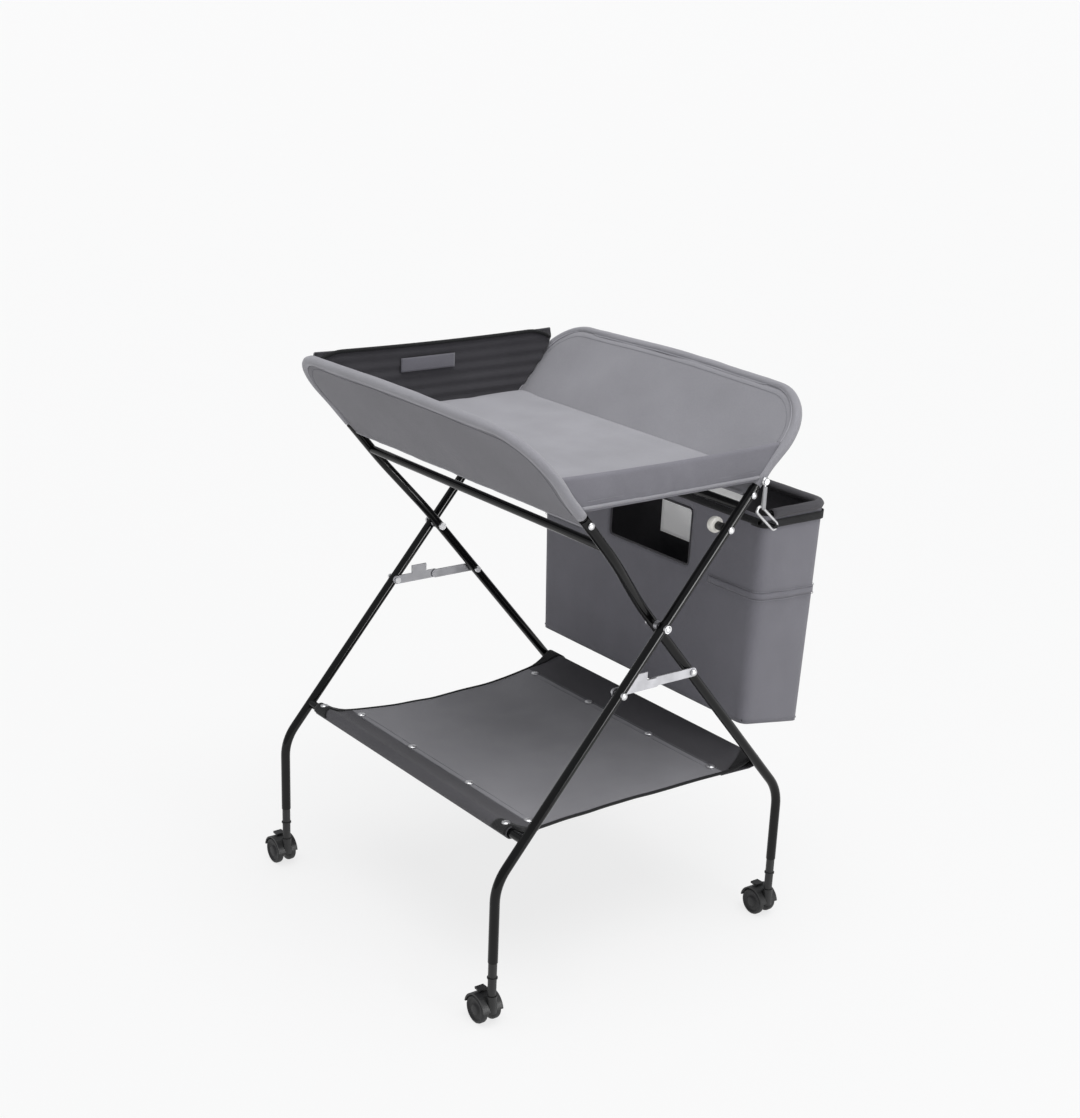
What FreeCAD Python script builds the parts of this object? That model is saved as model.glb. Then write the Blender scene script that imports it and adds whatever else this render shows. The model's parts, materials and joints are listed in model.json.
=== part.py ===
"""Folding changing table: scissor tube frames, fabric trough tray, sling shelf, hamper and casters.

Millimetres, +Z up. X runs along the tray, -Y is the front. The origin lies on the floor midway
between the four feet. Heights along a leaning leg are measured as "rise": zero at the top end of
the leg tube, positive up into the hoop, negative down towards the feet.
"""
import FreeCAD, Part

import math
import os

from FreeCAD import Placement, Rotation, Vector

os.makedirs("parts", exist_ok=True)
doc = FreeCAD.newDocument("changing_table")

# ---------------------------------------------------------------- driving dimensions
SIZES = {
    # frames
    "leg_diameter": 16, "tube_wall": 1.5, "outer_half_span": 320, "inner_half_span": 296,
    "inner_top_half_span": 322, "foot_offset": 303, "top_offset": 168, "top_height": 800,
    "bend_height": 244, "bend_radius": 80, "tube_foot": 112, "ferrule_foot": 54,
    "flare_start_drop": 216, "flare_end_drop": 96, "flare_radius": 250,
    "bar_diameter": 14, "outer_bar_drop": 36, "inner_bar_drop": 65, "shelf_bar_height": 305,
    # hoops and tray
    "hoop_diameter": 12.8, "hoop_plug": 40, "hoop_flare_rise": 44, "hoop_rim_rise": 170,
    "hoop_crown": 9, "hoop_widening": 20, "hoop_corner_radius": 85, "crown_radius": 3000,
    "sleeve_diameter": 19, "sleeve_bore": 13.6, "sleeve_start_rise": 24,
    "wall_thickness": 3, "wall_bottom_drop": 12, "wall_inset": 10.5,
    "floor_height": 811, "floor_thickness": 3, "pad_thickness": 16, "floor_end_gap": 3.5, "soft_gap": 0.3,
    "end_panel_thickness": 3, "end_panel_reach": 319, "low_end_height": 867,
    "high_end_height": 930, "label_width": 110, "label_depth": 24,
    "label_thickness": 2, "label_top": 904, "label_centre": -20,
    # fasteners
    "bolt_diameter": 6, "hole_clearance": 0.1, "head_diameter": 13, "head_height": 4,
    "pin_head": 11,
    "spacer_diameter": 14, "rivet_diameter": 4, "rivet_head": 8, "rivet_drop": 12,
    # braces
    "brace_drop": 122.8, "brace_width": 15, "brace_thickness": 3, "brace_side_gap": 0.6,
    "tab_length": 30, "tab_height": 14, "tab_offset": 18,
    # knobs
    "knob_diameter": 30, "knob_thickness": 15, "knob_drop": 77, "knob_edge": 3,
    "knob_neck_diameter": 15, "knob_neck_length": 16,
    # shelf
    "sling_half_length": 286, "sling_scallop": 26, "sling_sag": 14, "sling_thickness": 2.5,
    "sling_sleeve": 2.5, "snap_diameter": 10, "snap_height": 3, "snap_offset": 190,
    "snap_lift": 0.9, "snap_near": 85, "snap_far": 248,
    # hamper
    "bag_front": 225, "bag_back_low": 358, "bag_back_high": 360, "bag_half_low": 277,
    "bag_half_high": 291, "bag_floor_front": 374, "bag_floor_back": 352, "bag_top": 736,
    "bag_front_top": 721, "bag_wall": 3, "window_half_width": 105, "window_sill": 608,
    "window_head": 706, "window_offset": 16, "rod_diameter": 7, "rod_end_forward": 20, "rod_end_rise": 12,
    "rod_reach": 338, "rod_bend": 7, "rod_shoulder": 21,
    "rim_start_back": 14, "front_lip_depth": 17.5, "board_thickness": 3, "card_half_width": 105,
    "card_sill": 588,
    "card_thickness": 2,
    # hanging links
    "wire_diameter": 4.4, "link_reach": 332.5, "link_pin_rise": 16, "link_pin_diameter": 5,
    "link_pin_head": 10,
    "link_slot": 12.4, "link_length": 44, "link_lean": 42,
    # casters
    "wheel_diameter": 46, "wheel_width": 12, "wheel_spacing": 25, "caster_trail": 20,
    "hood_gap": 1.3, "hood_skin": 2.7, "hood_cut": 27, "web_thickness": 11, "web_diameter": 30,
    "axle_diameter": 6, "stem_diameter": 8, "stem_length": 38, "stem_seat": 6, "boss_diameter": 17,
    "ferrule_diameter": 14, "ferrule_ring": 17, "ferrule_ring_height": 84, "ferrule_plug": 18,
    "brake_width": 16, "brake_length": 15, "brake_thickness": 3.5, "brake_gap": 0.4,
}

sheet = doc.addObject("Spreadsheet::Sheet", "sizes")
for row, (alias, value) in enumerate(SIZES.items(), start=1):
    sheet.set(f"A{row}", alias)
    sheet.set(f"B{row}", str(value))
    sheet.setAlias(f"B{row}", alias)
doc.recompute()


def size(alias):
    return float(sheet.get(alias))


# ---------------------------------------------------------------- places worked out once
soft_gap = size("soft_gap")
OUTER, INNER = 1, -1          # the outer frame leans back to +Y, the inner frame to -Y
LEFT, RIGHT = -1, 1
SIDES = {"left": LEFT, "right": RIGHT}

lean = math.atan2(size("foot_offset") + size("top_offset"), size("top_height") - size("bend_height"))
pivot_height = size("top_height") - size("top_offset") / math.tan(lean)
pivot_drop = (size("top_height") - pivot_height) / math.cos(lean)
leg_radius = size("leg_diameter") / 2
outer_face = size("outer_half_span") - leg_radius      # the outer leg's side that faces inwards
inner_face = size("inner_half_span") + leg_radius      # the inner leg's side that faces outwards
shelf_drop = (size("top_height") - size("shelf_bar_height")) / math.cos(lean)
shelf_bar_offset = (pivot_height - size("shelf_bar_height")) * math.tan(lean)
brace_height = pivot_height - size("brace_drop") * math.cos(lean)
brace_offset = size("brace_drop") * math.sin(lean)
brace_pin_drop = pivot_drop + size("brace_drop")


def on_leg(frame, rise, x=0.0):
    """A point on the plane of a frame's legs, at a rise above the top end of the tube."""
    y = frame * (size("top_offset") + rise * math.sin(lean))
    return Vector(x, y, size("top_height") + rise * math.cos(lean))


# ---------------------------------------------------------------- builders
finished = []


def keep(part, name):
    """Marks a document object as a finished piece and gives it its name."""
    part.Label = name
    finished.append(part)
    return part


def bound(kind, name, placement, **sizes):
    """A Part primitive whose sizes are expressions over the sheet."""
    part = doc.addObject(kind, name)
    for prop, formula in sizes.items():
        part.setExpression(prop, formula)
    part.Placement = placement
    return part


def along_x(x, y, z):
    """A placement that lays a cylinder along +X from the given point."""
    return Placement(Vector(x, y, z), Rotation(Vector(0, 1, 0), 90))


def along_y(x, y, z):
    return Placement(Vector(x, y, z), Rotation(Vector(1, 0, 0), -90))


def rod_x(name, radius, start, length, y, z):
    """A cylinder along X: radius is a formula, start and length are numbers from the layout."""
    rod = bound("Part::Cylinder", name, along_x(start, y, z), Radius=radius)
    rod.Height = length
    return rod


def fused(name, pieces):
    part = doc.addObject("Part::MultiFuse", name)
    part.Shapes = pieces
    part.Refine = True
    return part


def cut(name, base, tool):
    part = doc.addObject("Part::Cut", name)
    part.Base = base
    part.Tool = tool
    return part


def group(name, pieces):
    """Like pieces kept together as separate solids."""
    part = doc.addObject("Part::Compound", name)
    part.Links = pieces
    return part


def shaped(name, shape):
    """A piece whose bent or draped shape has no primitive."""
    part = doc.addObject("Part::Feature", name)
    part.Shape = shape
    part.Placement = Placement()
    return part


def bent_wire(points, radii):
    """Straight runs through the points, with a tangent arc of its own radius at each inner point."""
    edges, start = [], points[0]
    for index, radius in enumerate(radii, start=1):
        corner = points[index]
        back = (points[index - 1] - corner).normalize()
        ahead = (points[index + 1] - corner).normalize()
        half = back.getAngle(ahead) / 2
        reach = radius / math.tan(half)
        middle = corner + (back + ahead).normalize() * (radius / math.sin(half) - radius)
        first, last = corner + back * reach, corner + ahead * reach
        edges.append(Part.LineSegment(start, first).toShape())
        edges.append(Part.Arc(first, middle, last).toShape())
        start = last
    edges.append(Part.LineSegment(start, points[-1]).toShape())
    return Part.Wire(edges)


def swept(points, radii, diameter):
    """A round bar of a diameter along a bent wire."""
    path = bent_wire(points, radii)
    ring = Part.Circle(points[0], points[1] - points[0], diameter / 2).toShape()
    return path.makePipeShell([Part.Wire([ring])], True, True)


def bent_tube(points, radii, diameter, bore):
    return swept(points, radii, diameter).cut(swept(points, radii, bore))


def bar_hole(x_from, x_to, point, diameter):
    """A round tool along X through a point."""
    return Part.makeCylinder(diameter / 2, x_to - x_from, Vector(x_from, point.y, point.z), Vector(1, 0, 0))


# ---------------------------------------------------------------- leg tubes
HOLE = "(sizes.bolt_diameter + sizes.hole_clearance) / 2"
RIVET_HOLE = "(sizes.rivet_diameter + sizes.hole_clearance) / 2"


def outer_leg_core(name, x, radius):
    """Foot run, bend and leaning run of an outer leg as one round bar."""
    reach = size("bend_radius") * math.tan(lean / 2)
    foot = Vector(x, -size("foot_offset"), size("tube_foot"))
    bend_centre = Vector(x, foot.y + size("bend_radius"), size("bend_height") - reach)
    top = on_leg(OUTER, 0, x)
    run_start = Vector(x, foot.y + reach * math.sin(lean), size("bend_height") + reach * math.cos(lean))
    lower = bound("Part::Cylinder", name + "_foot_run", Placement(foot, Rotation()), Radius=radius)
    lower.Height = bend_centre.z - foot.z
    turned = Rotation(Vector(0, -1, 0), Vector(0, 0, 1), Vector(-1, 0, 0), "XYZ")
    bend = bound("Part::Torus", name + "_bend", Placement(bend_centre, turned),
                 Radius1="sizes.bend_radius", Radius2=radius)
    bend.Angle3 = math.degrees(lean)
    tilt = Rotation(Vector(-1, 0, 0), math.degrees(lean))
    upper = bound("Part::Cylinder", name + "_lean_run", Placement(run_start, tilt), Radius=radius)
    upper.Height = (top - run_start).Length
    return fused(name, [lower, bend, upper])


def leg_holes(name, frame, x, side):
    """Tools for the pivot bolt, the brace pin and the hoop rivet of one leg."""
    reach = 2 * size("leg_diameter")
    tools = []
    for label, drop in (("pivot", pivot_drop), ("brace", brace_pin_drop)):
        spot = on_leg(frame, -drop, x)
        tools.append(rod_x(f"{name}_{label}_hole", HOLE, x - reach / 2, reach, spot.y, spot.z))
    if frame == OUTER:
        spot = on_leg(frame, -size("knob_drop"), x)
        tools.append(rod_x(f"{name}_knob_hole", HOLE, x - reach / 2, reach, spot.y, spot.z))
    top_x = x if frame == OUTER else side * size("inner_top_half_span")
    spot = on_leg(frame, -size("rivet_drop"), top_x)
    start = top_x if side == RIGHT else top_x - reach / 2
    tools.append(rod_x(f"{name}_rivet_hole", RIVET_HOLE, start, reach / 2, spot.y, spot.z))
    return tools


def outer_leg(word, side):
    x = side * size("outer_half_span")
    name = f"outer_leg_{word}"
    tube = outer_leg_core(name + "_outside", x, "sizes.leg_diameter / 2")
    bore = outer_leg_core(name + "_bore", x, "sizes.leg_diameter / 2 - sizes.tube_wall")
    tools = fused(name + "_tools", [bore] + leg_holes(name, OUTER, x, side))
    keep(cut(name, tube, tools), name)


def inner_leg(word, side):
    """The inner leg runs inside the outer one and flares out above the pivot."""
    low_x, top_x = side * size("inner_half_span"), side * size("inner_top_half_span")
    name = f"inner_leg_{word}"
    foot = size("foot_offset")
    points = [Vector(low_x, foot, size("tube_foot")), Vector(low_x, foot, size("bend_height")),
              on_leg(INNER, -size("flare_start_drop"), low_x), on_leg(INNER, -size("flare_end_drop"), top_x),
              on_leg(INNER, 0, top_x)]
    radii = [size("bend_radius"), size("flare_radius"), size("flare_radius")]
    bore = size("leg_diameter") - 2 * size("tube_wall")
    tube = shaped(name + "_tube", bent_tube(points, radii, size("leg_diameter"), bore))
    tools = fused(name + "_tools", leg_holes(name, INNER, low_x, side))
    keep(cut(name, tube, tools), name)


for word, side in SIDES.items():
    outer_leg(word, side)
    inner_leg(word, side)


# ---------------------------------------------------------------- cross bars
def cross_bar(name, frame, drop, half_span):
    """A tube between two legs, with its ends coped to the leg tubes."""
    spot = on_leg(frame, -drop)
    solid = rod_x(name + "_solid", "sizes.bar_diameter / 2", -half_span, 2 * half_span, spot.y, spot.z)
    tools = [rod_x(name + "_bore", "sizes.bar_diameter / 2 - sizes.tube_wall",
                   -half_span, 2 * half_span, spot.y, spot.z)]
    tilt = Rotation(Vector(-frame, 0, 0), math.degrees(lean))
    for word, side in SIDES.items():
        foot = on_leg(frame, -drop - size("leg_diameter"), side * half_span)
        tools.append(bound("Part::Cylinder", f"{name}_{word}_cope", Placement(foot, tilt),
                           Radius="sizes.leg_diameter / 2", Height="sizes.leg_diameter * 2"))
    keep(cut(name, solid, fused(name + "_tools", tools)), name)


cross_bar("outer_upper_bar", OUTER, size("outer_bar_drop"), size("outer_half_span"))
cross_bar("outer_shelf_bar", OUTER, shelf_drop, size("outer_half_span"))
cross_bar("inner_upper_bar", INNER, size("inner_bar_drop"), size("inner_top_half_span"))
cross_bar("inner_shelf_bar", INNER, shelf_drop, size("inner_half_span"))


# ---------------------------------------------------------------- hoops, rim sleeves and tray walls
def hoop_points(frame, half_span, start_rise, inset=0.0):
    """Corner points of a hoop, from the left leg over the rim to the right leg."""
    rim_x = half_span + size("hoop_widening") - inset
    rim = size("hoop_rim_rise") - inset
    flare = size("hoop_flare_rise")
    left = [on_leg(frame, start_rise, -half_span + inset), on_leg(frame, flare, -half_span + inset),
            on_leg(frame, rim, -rim_x)]
    right = [on_leg(frame, rim, rim_x), on_leg(frame, flare, half_span - inset),
             on_leg(frame, start_rise, half_span - inset)]
    return left + [on_leg(frame, rim + size("hoop_crown"))] + right


def hoop_radii(inset=0.0):
    corner = size("hoop_corner_radius") - inset
    return [corner, corner, size("crown_radius"), corner, corner]


def tray_side(frame, frame_word, wall_word, half_span):
    """Hoop, its rivets, the sleeve round its rim and the fabric wall that it carries."""
    hoop = bent_tube(hoop_points(frame, half_span, -size("hoop_plug")), hoop_radii(),
                     size("hoop_diameter"), size("hoop_diameter") - 2 * size("tube_wall"))
    rivets = []
    for word, side in SIDES.items():
        spot = on_leg(frame, -size("rivet_drop"), side * half_span)
        far = side * (half_span + leg_radius)
        hoop = hoop.cut(bar_hole(min(spot.x, far), max(spot.x, far), spot,
                                 size("rivet_diameter") + size("hole_clearance")))
        shank_start = spot.x + side * size("leg_diameter") / 8
        head_end = far + side * size("head_height") / 2
        start = min(shank_start, head_end)
        shank = rod_x(f"{frame_word}_{word}_rivet_shank", "sizes.rivet_diameter / 2", start,
                      abs(head_end - shank_start), spot.y, spot.z)
        head = rod_x(f"{frame_word}_{word}_rivet_head", "sizes.rivet_head / 2", min(far, head_end),
                     abs(head_end - far), spot.y, spot.z)
        rivets.append(fused(f"{frame_word}_{word}_rivet", [shank, head]))
    keep(shaped(f"{frame_word}_hoop", hoop), f"{frame_word}_hoop")
    keep(group(f"{frame_word}_hoop_rivets", rivets), f"{frame_word}_hoop_rivets")

    sleeve = bent_tube(hoop_points(frame, half_span, size("sleeve_start_rise")), hoop_radii(),
                       size("sleeve_diameter"), size("sleeve_bore"))
    keep(shaped(f"{wall_word}_rim_sleeve", sleeve), f"{wall_word}_rim_sleeve")

    outline = hoop_points(frame, half_span, -size("wall_bottom_drop"), size("wall_inset"))
    edge = bent_wire(outline, hoop_radii(size("wall_inset")))
    closing = Part.LineSegment(outline[-1], outline[0]).toShape()
    normal = Vector(0, frame * math.cos(lean), -math.sin(lean))
    face = Part.Face(Part.Wire(edge.Edges + [closing]))
    face.translate(normal * (-size("wall_thickness") / 2))
    keep(shaped(f"{wall_word}_wall", face.extrude(normal * size("wall_thickness"))), f"{wall_word}_wall")


tray_side(OUTER, "outer", "back", size("outer_half_span"))
tray_side(INNER, "inner", "front", size("inner_top_half_span"))


# ---------------------------------------------------------------- tray floor, pad and end panels
def trough_slab(x_from, x_to, bottom, top, side_gap):
    """A slab between the two leaning walls, a gap clear of each wall's middle plane."""
    corners = []
    for height in (bottom, top):
        rise = (height - size("top_height")) / math.cos(lean)
        half = on_leg(OUTER, rise).y - side_gap / math.cos(lean)
        corners.append((height, half))
    (low, low_half), (high, high_half) = corners
    section = [Vector(x_from, -low_half, low), Vector(x_from, low_half, low),
               Vector(x_from, high_half, high), Vector(x_from, -high_half, high)]
    return Part.Face(Part.makePolygon(section + section[:1])).extrude(Vector(x_to - x_from, 0, 0))


pad_bottom = size("floor_height") + size("floor_thickness")
pad_top = pad_bottom + size("pad_thickness")
panel_reach = size("end_panel_reach")
panel_inside = panel_reach - size("end_panel_thickness")
floor_reach = outer_face - size("floor_end_gap")
wall_side = size("wall_thickness") / 2 + soft_gap
sleeve_side = size("sleeve_diameter") / 2 + soft_gap

keep(shaped("tray_floor", trough_slab(-floor_reach, floor_reach, size("floor_height"),
                                      pad_bottom - soft_gap, wall_side)), "tray_floor")
keep(shaped("changing_pad", trough_slab(-floor_reach, floor_reach, pad_bottom, pad_top,
                                        wall_side)), "changing_pad")
keep(shaped("low_end_panel", trough_slab(panel_inside, panel_reach, size("floor_height"),
                                         size("low_end_height"), sleeve_side)), "low_end_panel")
keep(shaped("high_end_panel", trough_slab(-panel_reach, -panel_inside, size("floor_height"),
                                          size("high_end_height"), sleeve_side)), "high_end_panel")
label_corner = Vector(-panel_inside + soft_gap, size("label_centre") - size("label_width") / 2,
                       size("label_top") - size("label_depth"))
keep(bound("Part::Box", "end_label", Placement(label_corner, Rotation()), Length="sizes.label_thickness",
           Width="sizes.label_width", Height="sizes.label_depth"), "end_label")


# ---------------------------------------------------------------- pivots and braces
def pivot_pieces():
    """A bolt through both legs at each end, with a spacer between the tubes."""
    bolts, spacers = [], []
    inside = size("inner_half_span") - leg_radius
    outside = size("outer_half_span") + leg_radius
    for word, side in SIDES.items():
        shank_from, shank_to = inside - size("head_height"), outside + size("head_height")
        starts = sorted((side * shank_from, side * shank_to))
        shank = rod_x(f"pivot_{word}_shank", "sizes.bolt_diameter / 2", starts[0],
                      starts[1] - starts[0], 0, pivot_height)
        heads = []
        for label, near, far in (("nut", shank_from, inside), ("head", outside, shank_to)):
            ends = sorted((side * near, side * far))
            heads.append(rod_x(f"pivot_{word}_{label}", "sizes.head_diameter / 2", ends[0],
                               ends[1] - ends[0], 0, pivot_height))
        bolts.append(fused(f"pivot_{word}_bolt", [shank] + heads))
        ends = sorted((side * (inner_face + size("hole_clearance")), side * (outer_face - size("hole_clearance"))))
        ring = rod_x(f"pivot_{word}_ring", "sizes.spacer_diameter / 2", ends[0], ends[1] - ends[0],
                     0, pivot_height)
        hole = rod_x(f"pivot_{word}_ring_hole", HOLE, ends[0], ends[1] - ends[0], 0, pivot_height)
        spacers.append(cut(f"pivot_{word}_spacer", ring, hole))
    keep(group("pivot_bolts", bolts), "pivot_bolts")
    keep(group("pivot_spacers", spacers), "pivot_spacers")


pivot_pieces()

link_inner_near = inner_face + size("brace_side_gap")
link_outer_near = outer_face - size("brace_side_gap") - size("brace_thickness")


def brace_pins(frame, frame_word):
    """The pin that carries a brace link on each leg of a frame."""
    pins = []
    y = -frame * brace_offset
    for word, side in SIDES.items():
        if frame == OUTER:
            near, far = link_outer_near - size("brace_side_gap") - size("brace_thickness"), \
                size("outer_half_span") + leg_radius + size("head_height")
            heads = ((near, link_outer_near - size("brace_side_gap")), (far - size("head_height"), far))
        else:
            near, far = size("inner_half_span") - leg_radius - size("head_height"), \
                link_inner_near + 2 * size("brace_thickness") + size("brace_side_gap")
            heads = ((near, near + size("head_height")), (far - size("brace_thickness"), far))
        ends = sorted((side * near, side * far))
        pieces = [rod_x(f"{frame_word}_{word}_pin_shank", "sizes.bolt_diameter / 2", ends[0],
                        ends[1] - ends[0], y, brace_height)]
        for index, span in enumerate(heads):
            ends = sorted((side * span[0], side * span[1]))
            pieces.append(rod_x(f"{frame_word}_{word}_pin_head_{index}", "sizes.pin_head / 2",
                                ends[0], ends[1] - ends[0], y, brace_height))
        pins.append(fused(f"{frame_word}_{word}_pin", pieces))
    keep(group(f"{frame_word}_brace_pins", pins), f"{frame_word}_brace_pins")


def brace_link(frame, frame_word, word, side):
    """A flat link from the leg pin to the middle of the brace; the outer link has the release tab."""
    name = f"{frame_word}_brace_{word}"
    near = link_outer_near if frame == OUTER else link_inner_near
    x = near if side == RIGHT else -near - size("brace_thickness")
    y_from = min(0, -frame * brace_offset)
    bar = bound("Part::Box", name + "_bar", Placement(Vector(x, y_from, brace_height - size("brace_width") / 2),
                Rotation()), Length="sizes.brace_thickness", Height="sizes.brace_width")
    bar.Width = brace_offset
    pieces = [bar]
    for label, y in (("pin", -frame * brace_offset), ("middle", 0)):
        pieces.append(bound("Part::Cylinder", f"{name}_{label}_end", along_x(x, y, brace_height),
                            Radius="sizes.brace_width / 2", Height="sizes.brace_thickness"))
    if frame == OUTER:
        corner = Vector(x, -size("tab_offset") - size("tab_length"), brace_height)
        pieces.append(bound("Part::Box", name + "_tab", Placement(corner, Rotation()),
                            Length="sizes.brace_thickness", Width="sizes.tab_length",
                            Height="sizes.brace_width / 2 + sizes.tab_height"))
    hole = bound("Part::Cylinder", name + "_hole", along_x(x, -frame * brace_offset, brace_height),
                 Radius=HOLE, Height="sizes.brace_thickness")
    keep(cut(name, fused(name + "_solid", pieces), hole), name)


for frame, frame_word in ((OUTER, "outer"), (INNER, "inner")):
    brace_pins(frame, frame_word)
    for word, side in SIDES.items():
        brace_link(frame, frame_word, word, side)


# ---------------------------------------------------------------- knobs on the outer legs
def knobs():
    """A round knob inside each outer leg, held by a screw through the tube."""
    spot = on_leg(OUTER, -size("knob_drop"))
    knob_list, screws = [], []
    for word, side in SIDES.items():
        shoulder = outer_face - size("knob_neck_length")
        near = shoulder - size("knob_thickness")
        start = min(side * near, side * shoulder)
        body = bound("Part::Cylinder", f"knob_{word}_body", along_x(start, spot.y, spot.z),
                     Radius="sizes.knob_diameter / 2", Height="sizes.knob_thickness")
        doc.recompute()
        rim = doc.addObject("Part::Fillet", f"knob_{word}_rounded")
        rim.Base = body
        rings = [i for i, edge in enumerate(body.Shape.Edges, start=1)
                 if edge.Curve.TypeId == "Part::GeomCircle"]
        rim.Edges = [(i, size("knob_edge"), size("knob_edge")) for i in rings]
        base = min(side * (shoulder - size("knob_edge")), side * outer_face)
        neck = rod_x(f"knob_{word}_neck", "sizes.knob_neck_diameter / 2", base,
                     size("knob_neck_length") + size("knob_edge"), spot.y, spot.z)
        whole = fused(f"knob_{word}_whole", [rim, neck])
        reach = size("knob_thickness") + size("knob_neck_length")
        hole = rod_x(f"knob_{word}_hole", HOLE, min(side * near, side * outer_face), reach, spot.y, spot.z)
        knob_list.append(cut(f"knob_{word}", whole, hole))
        far = size("outer_half_span") + leg_radius + size("head_height") / 2
        ends = sorted((side * (near + size("knob_edge")), side * far))
        shank = rod_x(f"knob_{word}_shank", "sizes.bolt_diameter / 2", ends[0], ends[1] - ends[0],
                      spot.y, spot.z)
        ends = sorted((side * (far - size("head_height") / 2), side * far))
        head = rod_x(f"knob_{word}_head", "sizes.pin_head / 2", ends[0], ends[1] - ends[0],
                     spot.y, spot.z)
        screws.append(fused(f"knob_{word}_screw", [shank, head]))
    keep(group("hamper_knobs", knob_list), "hamper_knobs")
    keep(group("knob_screws", screws), "knob_screws")


knobs()


# ---------------------------------------------------------------- sling shelf
sleeve_inside = size("bar_diameter") + 2 * soft_gap
sleeve_outside = sleeve_inside + 2 * size("sling_sleeve")
sling_top = size("shelf_bar_height") - size("bar_diameter") / 2


def sling_arc(drop):
    """The sagging line of the sling across the shelf, a drop below its top face."""
    half = shelf_bar_offset
    ends = [Vector(0, -half, sling_top - drop), Vector(0, half, sling_top - drop)]
    return Part.Arc(ends[0], Vector(0, 0, sling_top - drop - size("sling_sag")), ends[1])


def sling():
    """A sagging sheet with scalloped ends and a sleeve round each shelf bar."""
    half = shelf_bar_offset
    top, bottom = sling_arc(0), sling_arc(size("sling_thickness"))
    sides = [Part.LineSegment(Vector(0, y, sling_top), Vector(0, y, sling_top - size("sling_thickness")))
             for y in (half, -half)]
    section = Part.Face(Part.Wire(Part.__sortEdges__([top.toShape(), sides[0].toShape(),
                                                      bottom.toShape(), sides[1].toShape()])))
    length = size("sling_half_length")
    sheet_solid = section.extrude(Vector(2 * length, 0, 0))
    sheet_solid.translate(Vector(-length, 0, 0))
    scallop = size("sling_scallop")
    radius = (half ** 2 + scallop ** 2) / (2 * scallop)
    for side in SIDES.values():
        centre = Vector(side * (length - scallop + radius), 0, 0)
        sheet_solid = sheet_solid.cut(Part.makeCylinder(radius, size("top_height"), centre))
    for y in (-half, half):
        ring = Part.makeCylinder(sleeve_outside / 2, 2 * length, Vector(-length, y, size("shelf_bar_height")),
                                 Vector(1, 0, 0))
        sheet_solid = sheet_solid.fuse(ring)
    for y in (-half, half):
        sheet_solid = sheet_solid.cut(Part.makeCylinder(sleeve_inside / 2, 2 * length, Vector(
            -length, y, size("shelf_bar_height")), Vector(1, 0, 0)))
    keep(shaped("shelf_sling", sheet_solid.removeSplitter()), "shelf_sling")


def shelf_snaps(name, frame):
    """Four snap fasteners along one sleeve seam of the sling."""
    y = -frame * size("snap_offset")
    sag = size("sling_sag") * (1 - (size("snap_offset") / shelf_bar_offset) ** 2)
    seat = sling_top - sag + size("snap_lift")
    spots = [-size("snap_far"), -size("snap_near"), size("snap_near"), size("snap_far")]
    snaps = [bound("Part::Cylinder", f"{name}_{i}", Placement(Vector(x, y, seat), Rotation()),
                   Radius="sizes.snap_diameter / 2", Height="sizes.snap_height")
             for i, x in enumerate(spots)]
    keep(group(name, snaps), name)


sling()
shelf_snaps("front_shelf_snaps", OUTER)
shelf_snaps("back_shelf_snaps", INNER)


# ---------------------------------------------------------------- hamper
def box_loop(half_x, front, back, front_z, back_z):
    corners = [Vector(-half_x, front, front_z), Vector(half_x, front, front_z),
               Vector(half_x, back, back_z), Vector(-half_x, back, back_z)]
    return Part.makePolygon(corners + corners[:1])


def hamper_bag():
    """A tapered bag, open at the top, with a window in the upper part of its front."""
    wall, top = size("bag_wall"), size("bag_top")
    front = size("bag_front")
    low = box_loop(size("bag_half_low"), front, size("bag_back_low"), size("bag_floor_front"),
                   size("bag_floor_back"))
    high = box_loop(size("bag_half_high"), front, size("bag_back_high"), top, top)
    low_in = box_loop(size("bag_half_low") - wall, front + wall, size("bag_back_low") - wall,
                      size("bag_floor_front") + wall, size("bag_floor_back") + wall)
    high_in = box_loop(size("bag_half_high") - wall, front + wall, size("bag_back_high") - wall, top, top)
    bag = Part.makeLoft([low, high], True, True).cut(Part.makeLoft([low_in, high_in], True, True))
    half = size("window_half_width")
    window = Part.makeBox(2 * half, 2 * wall, size("window_head") - size("window_sill"),
                          Vector(size("window_offset") - half, front - wall / 2, size("window_sill")))
    lip = Part.makeBox(3 * size("bag_half_high"), size("front_lip_depth"), top,
                       Vector(-1.5 * size("bag_half_high"), front - size("rod_diameter"),
                              size("bag_front_top")))
    keep(shaped("hamper_bag", bag.cut(window).cut(lip)), "hamper_bag")


def hamper_rods():
    """The front rod, whose bent ends sit in the hanging links, and the rod round sides and back."""
    radius = size("rod_diameter") / 2
    front_z = size("bag_front_top") + soft_gap + radius
    end_y, end_z = size("bag_front") - size("rod_end_forward"), front_z + size("rod_end_rise")
    half = size("bag_half_high")
    bend, shoulder = size("rod_bend"), size("rod_shoulder")
    reach = size("rod_reach")
    points = [Vector(-reach, end_y, end_z), Vector(-half - shoulder, end_y, end_z),
              Vector(-half + bend, size("bag_front"), front_z), Vector(half - bend, size("bag_front"), front_z),
              Vector(half + shoulder, end_y, end_z), Vector(reach, end_y, end_z)]
    keep(shaped("hamper_front_rod", swept(points, [bend] * 4, size("rod_diameter"))), "hamper_front_rod")
    rim_z = size("bag_top") + soft_gap + radius
    start_y = size("bag_front") + size("rim_start_back")
    back = size("bag_back_high") - size("bag_wall") / 2
    side_x = half - size("bag_wall") / 2
    points = [Vector(-side_x, start_y, rim_z), Vector(-side_x, back, rim_z), Vector(side_x, back, rim_z),
              Vector(side_x, start_y, rim_z)]
    keep(shaped("hamper_rim_rod", swept(points, [shoulder] * 2, size("rod_diameter"))), "hamper_rim_rod")
    return end_y, end_z


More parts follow.
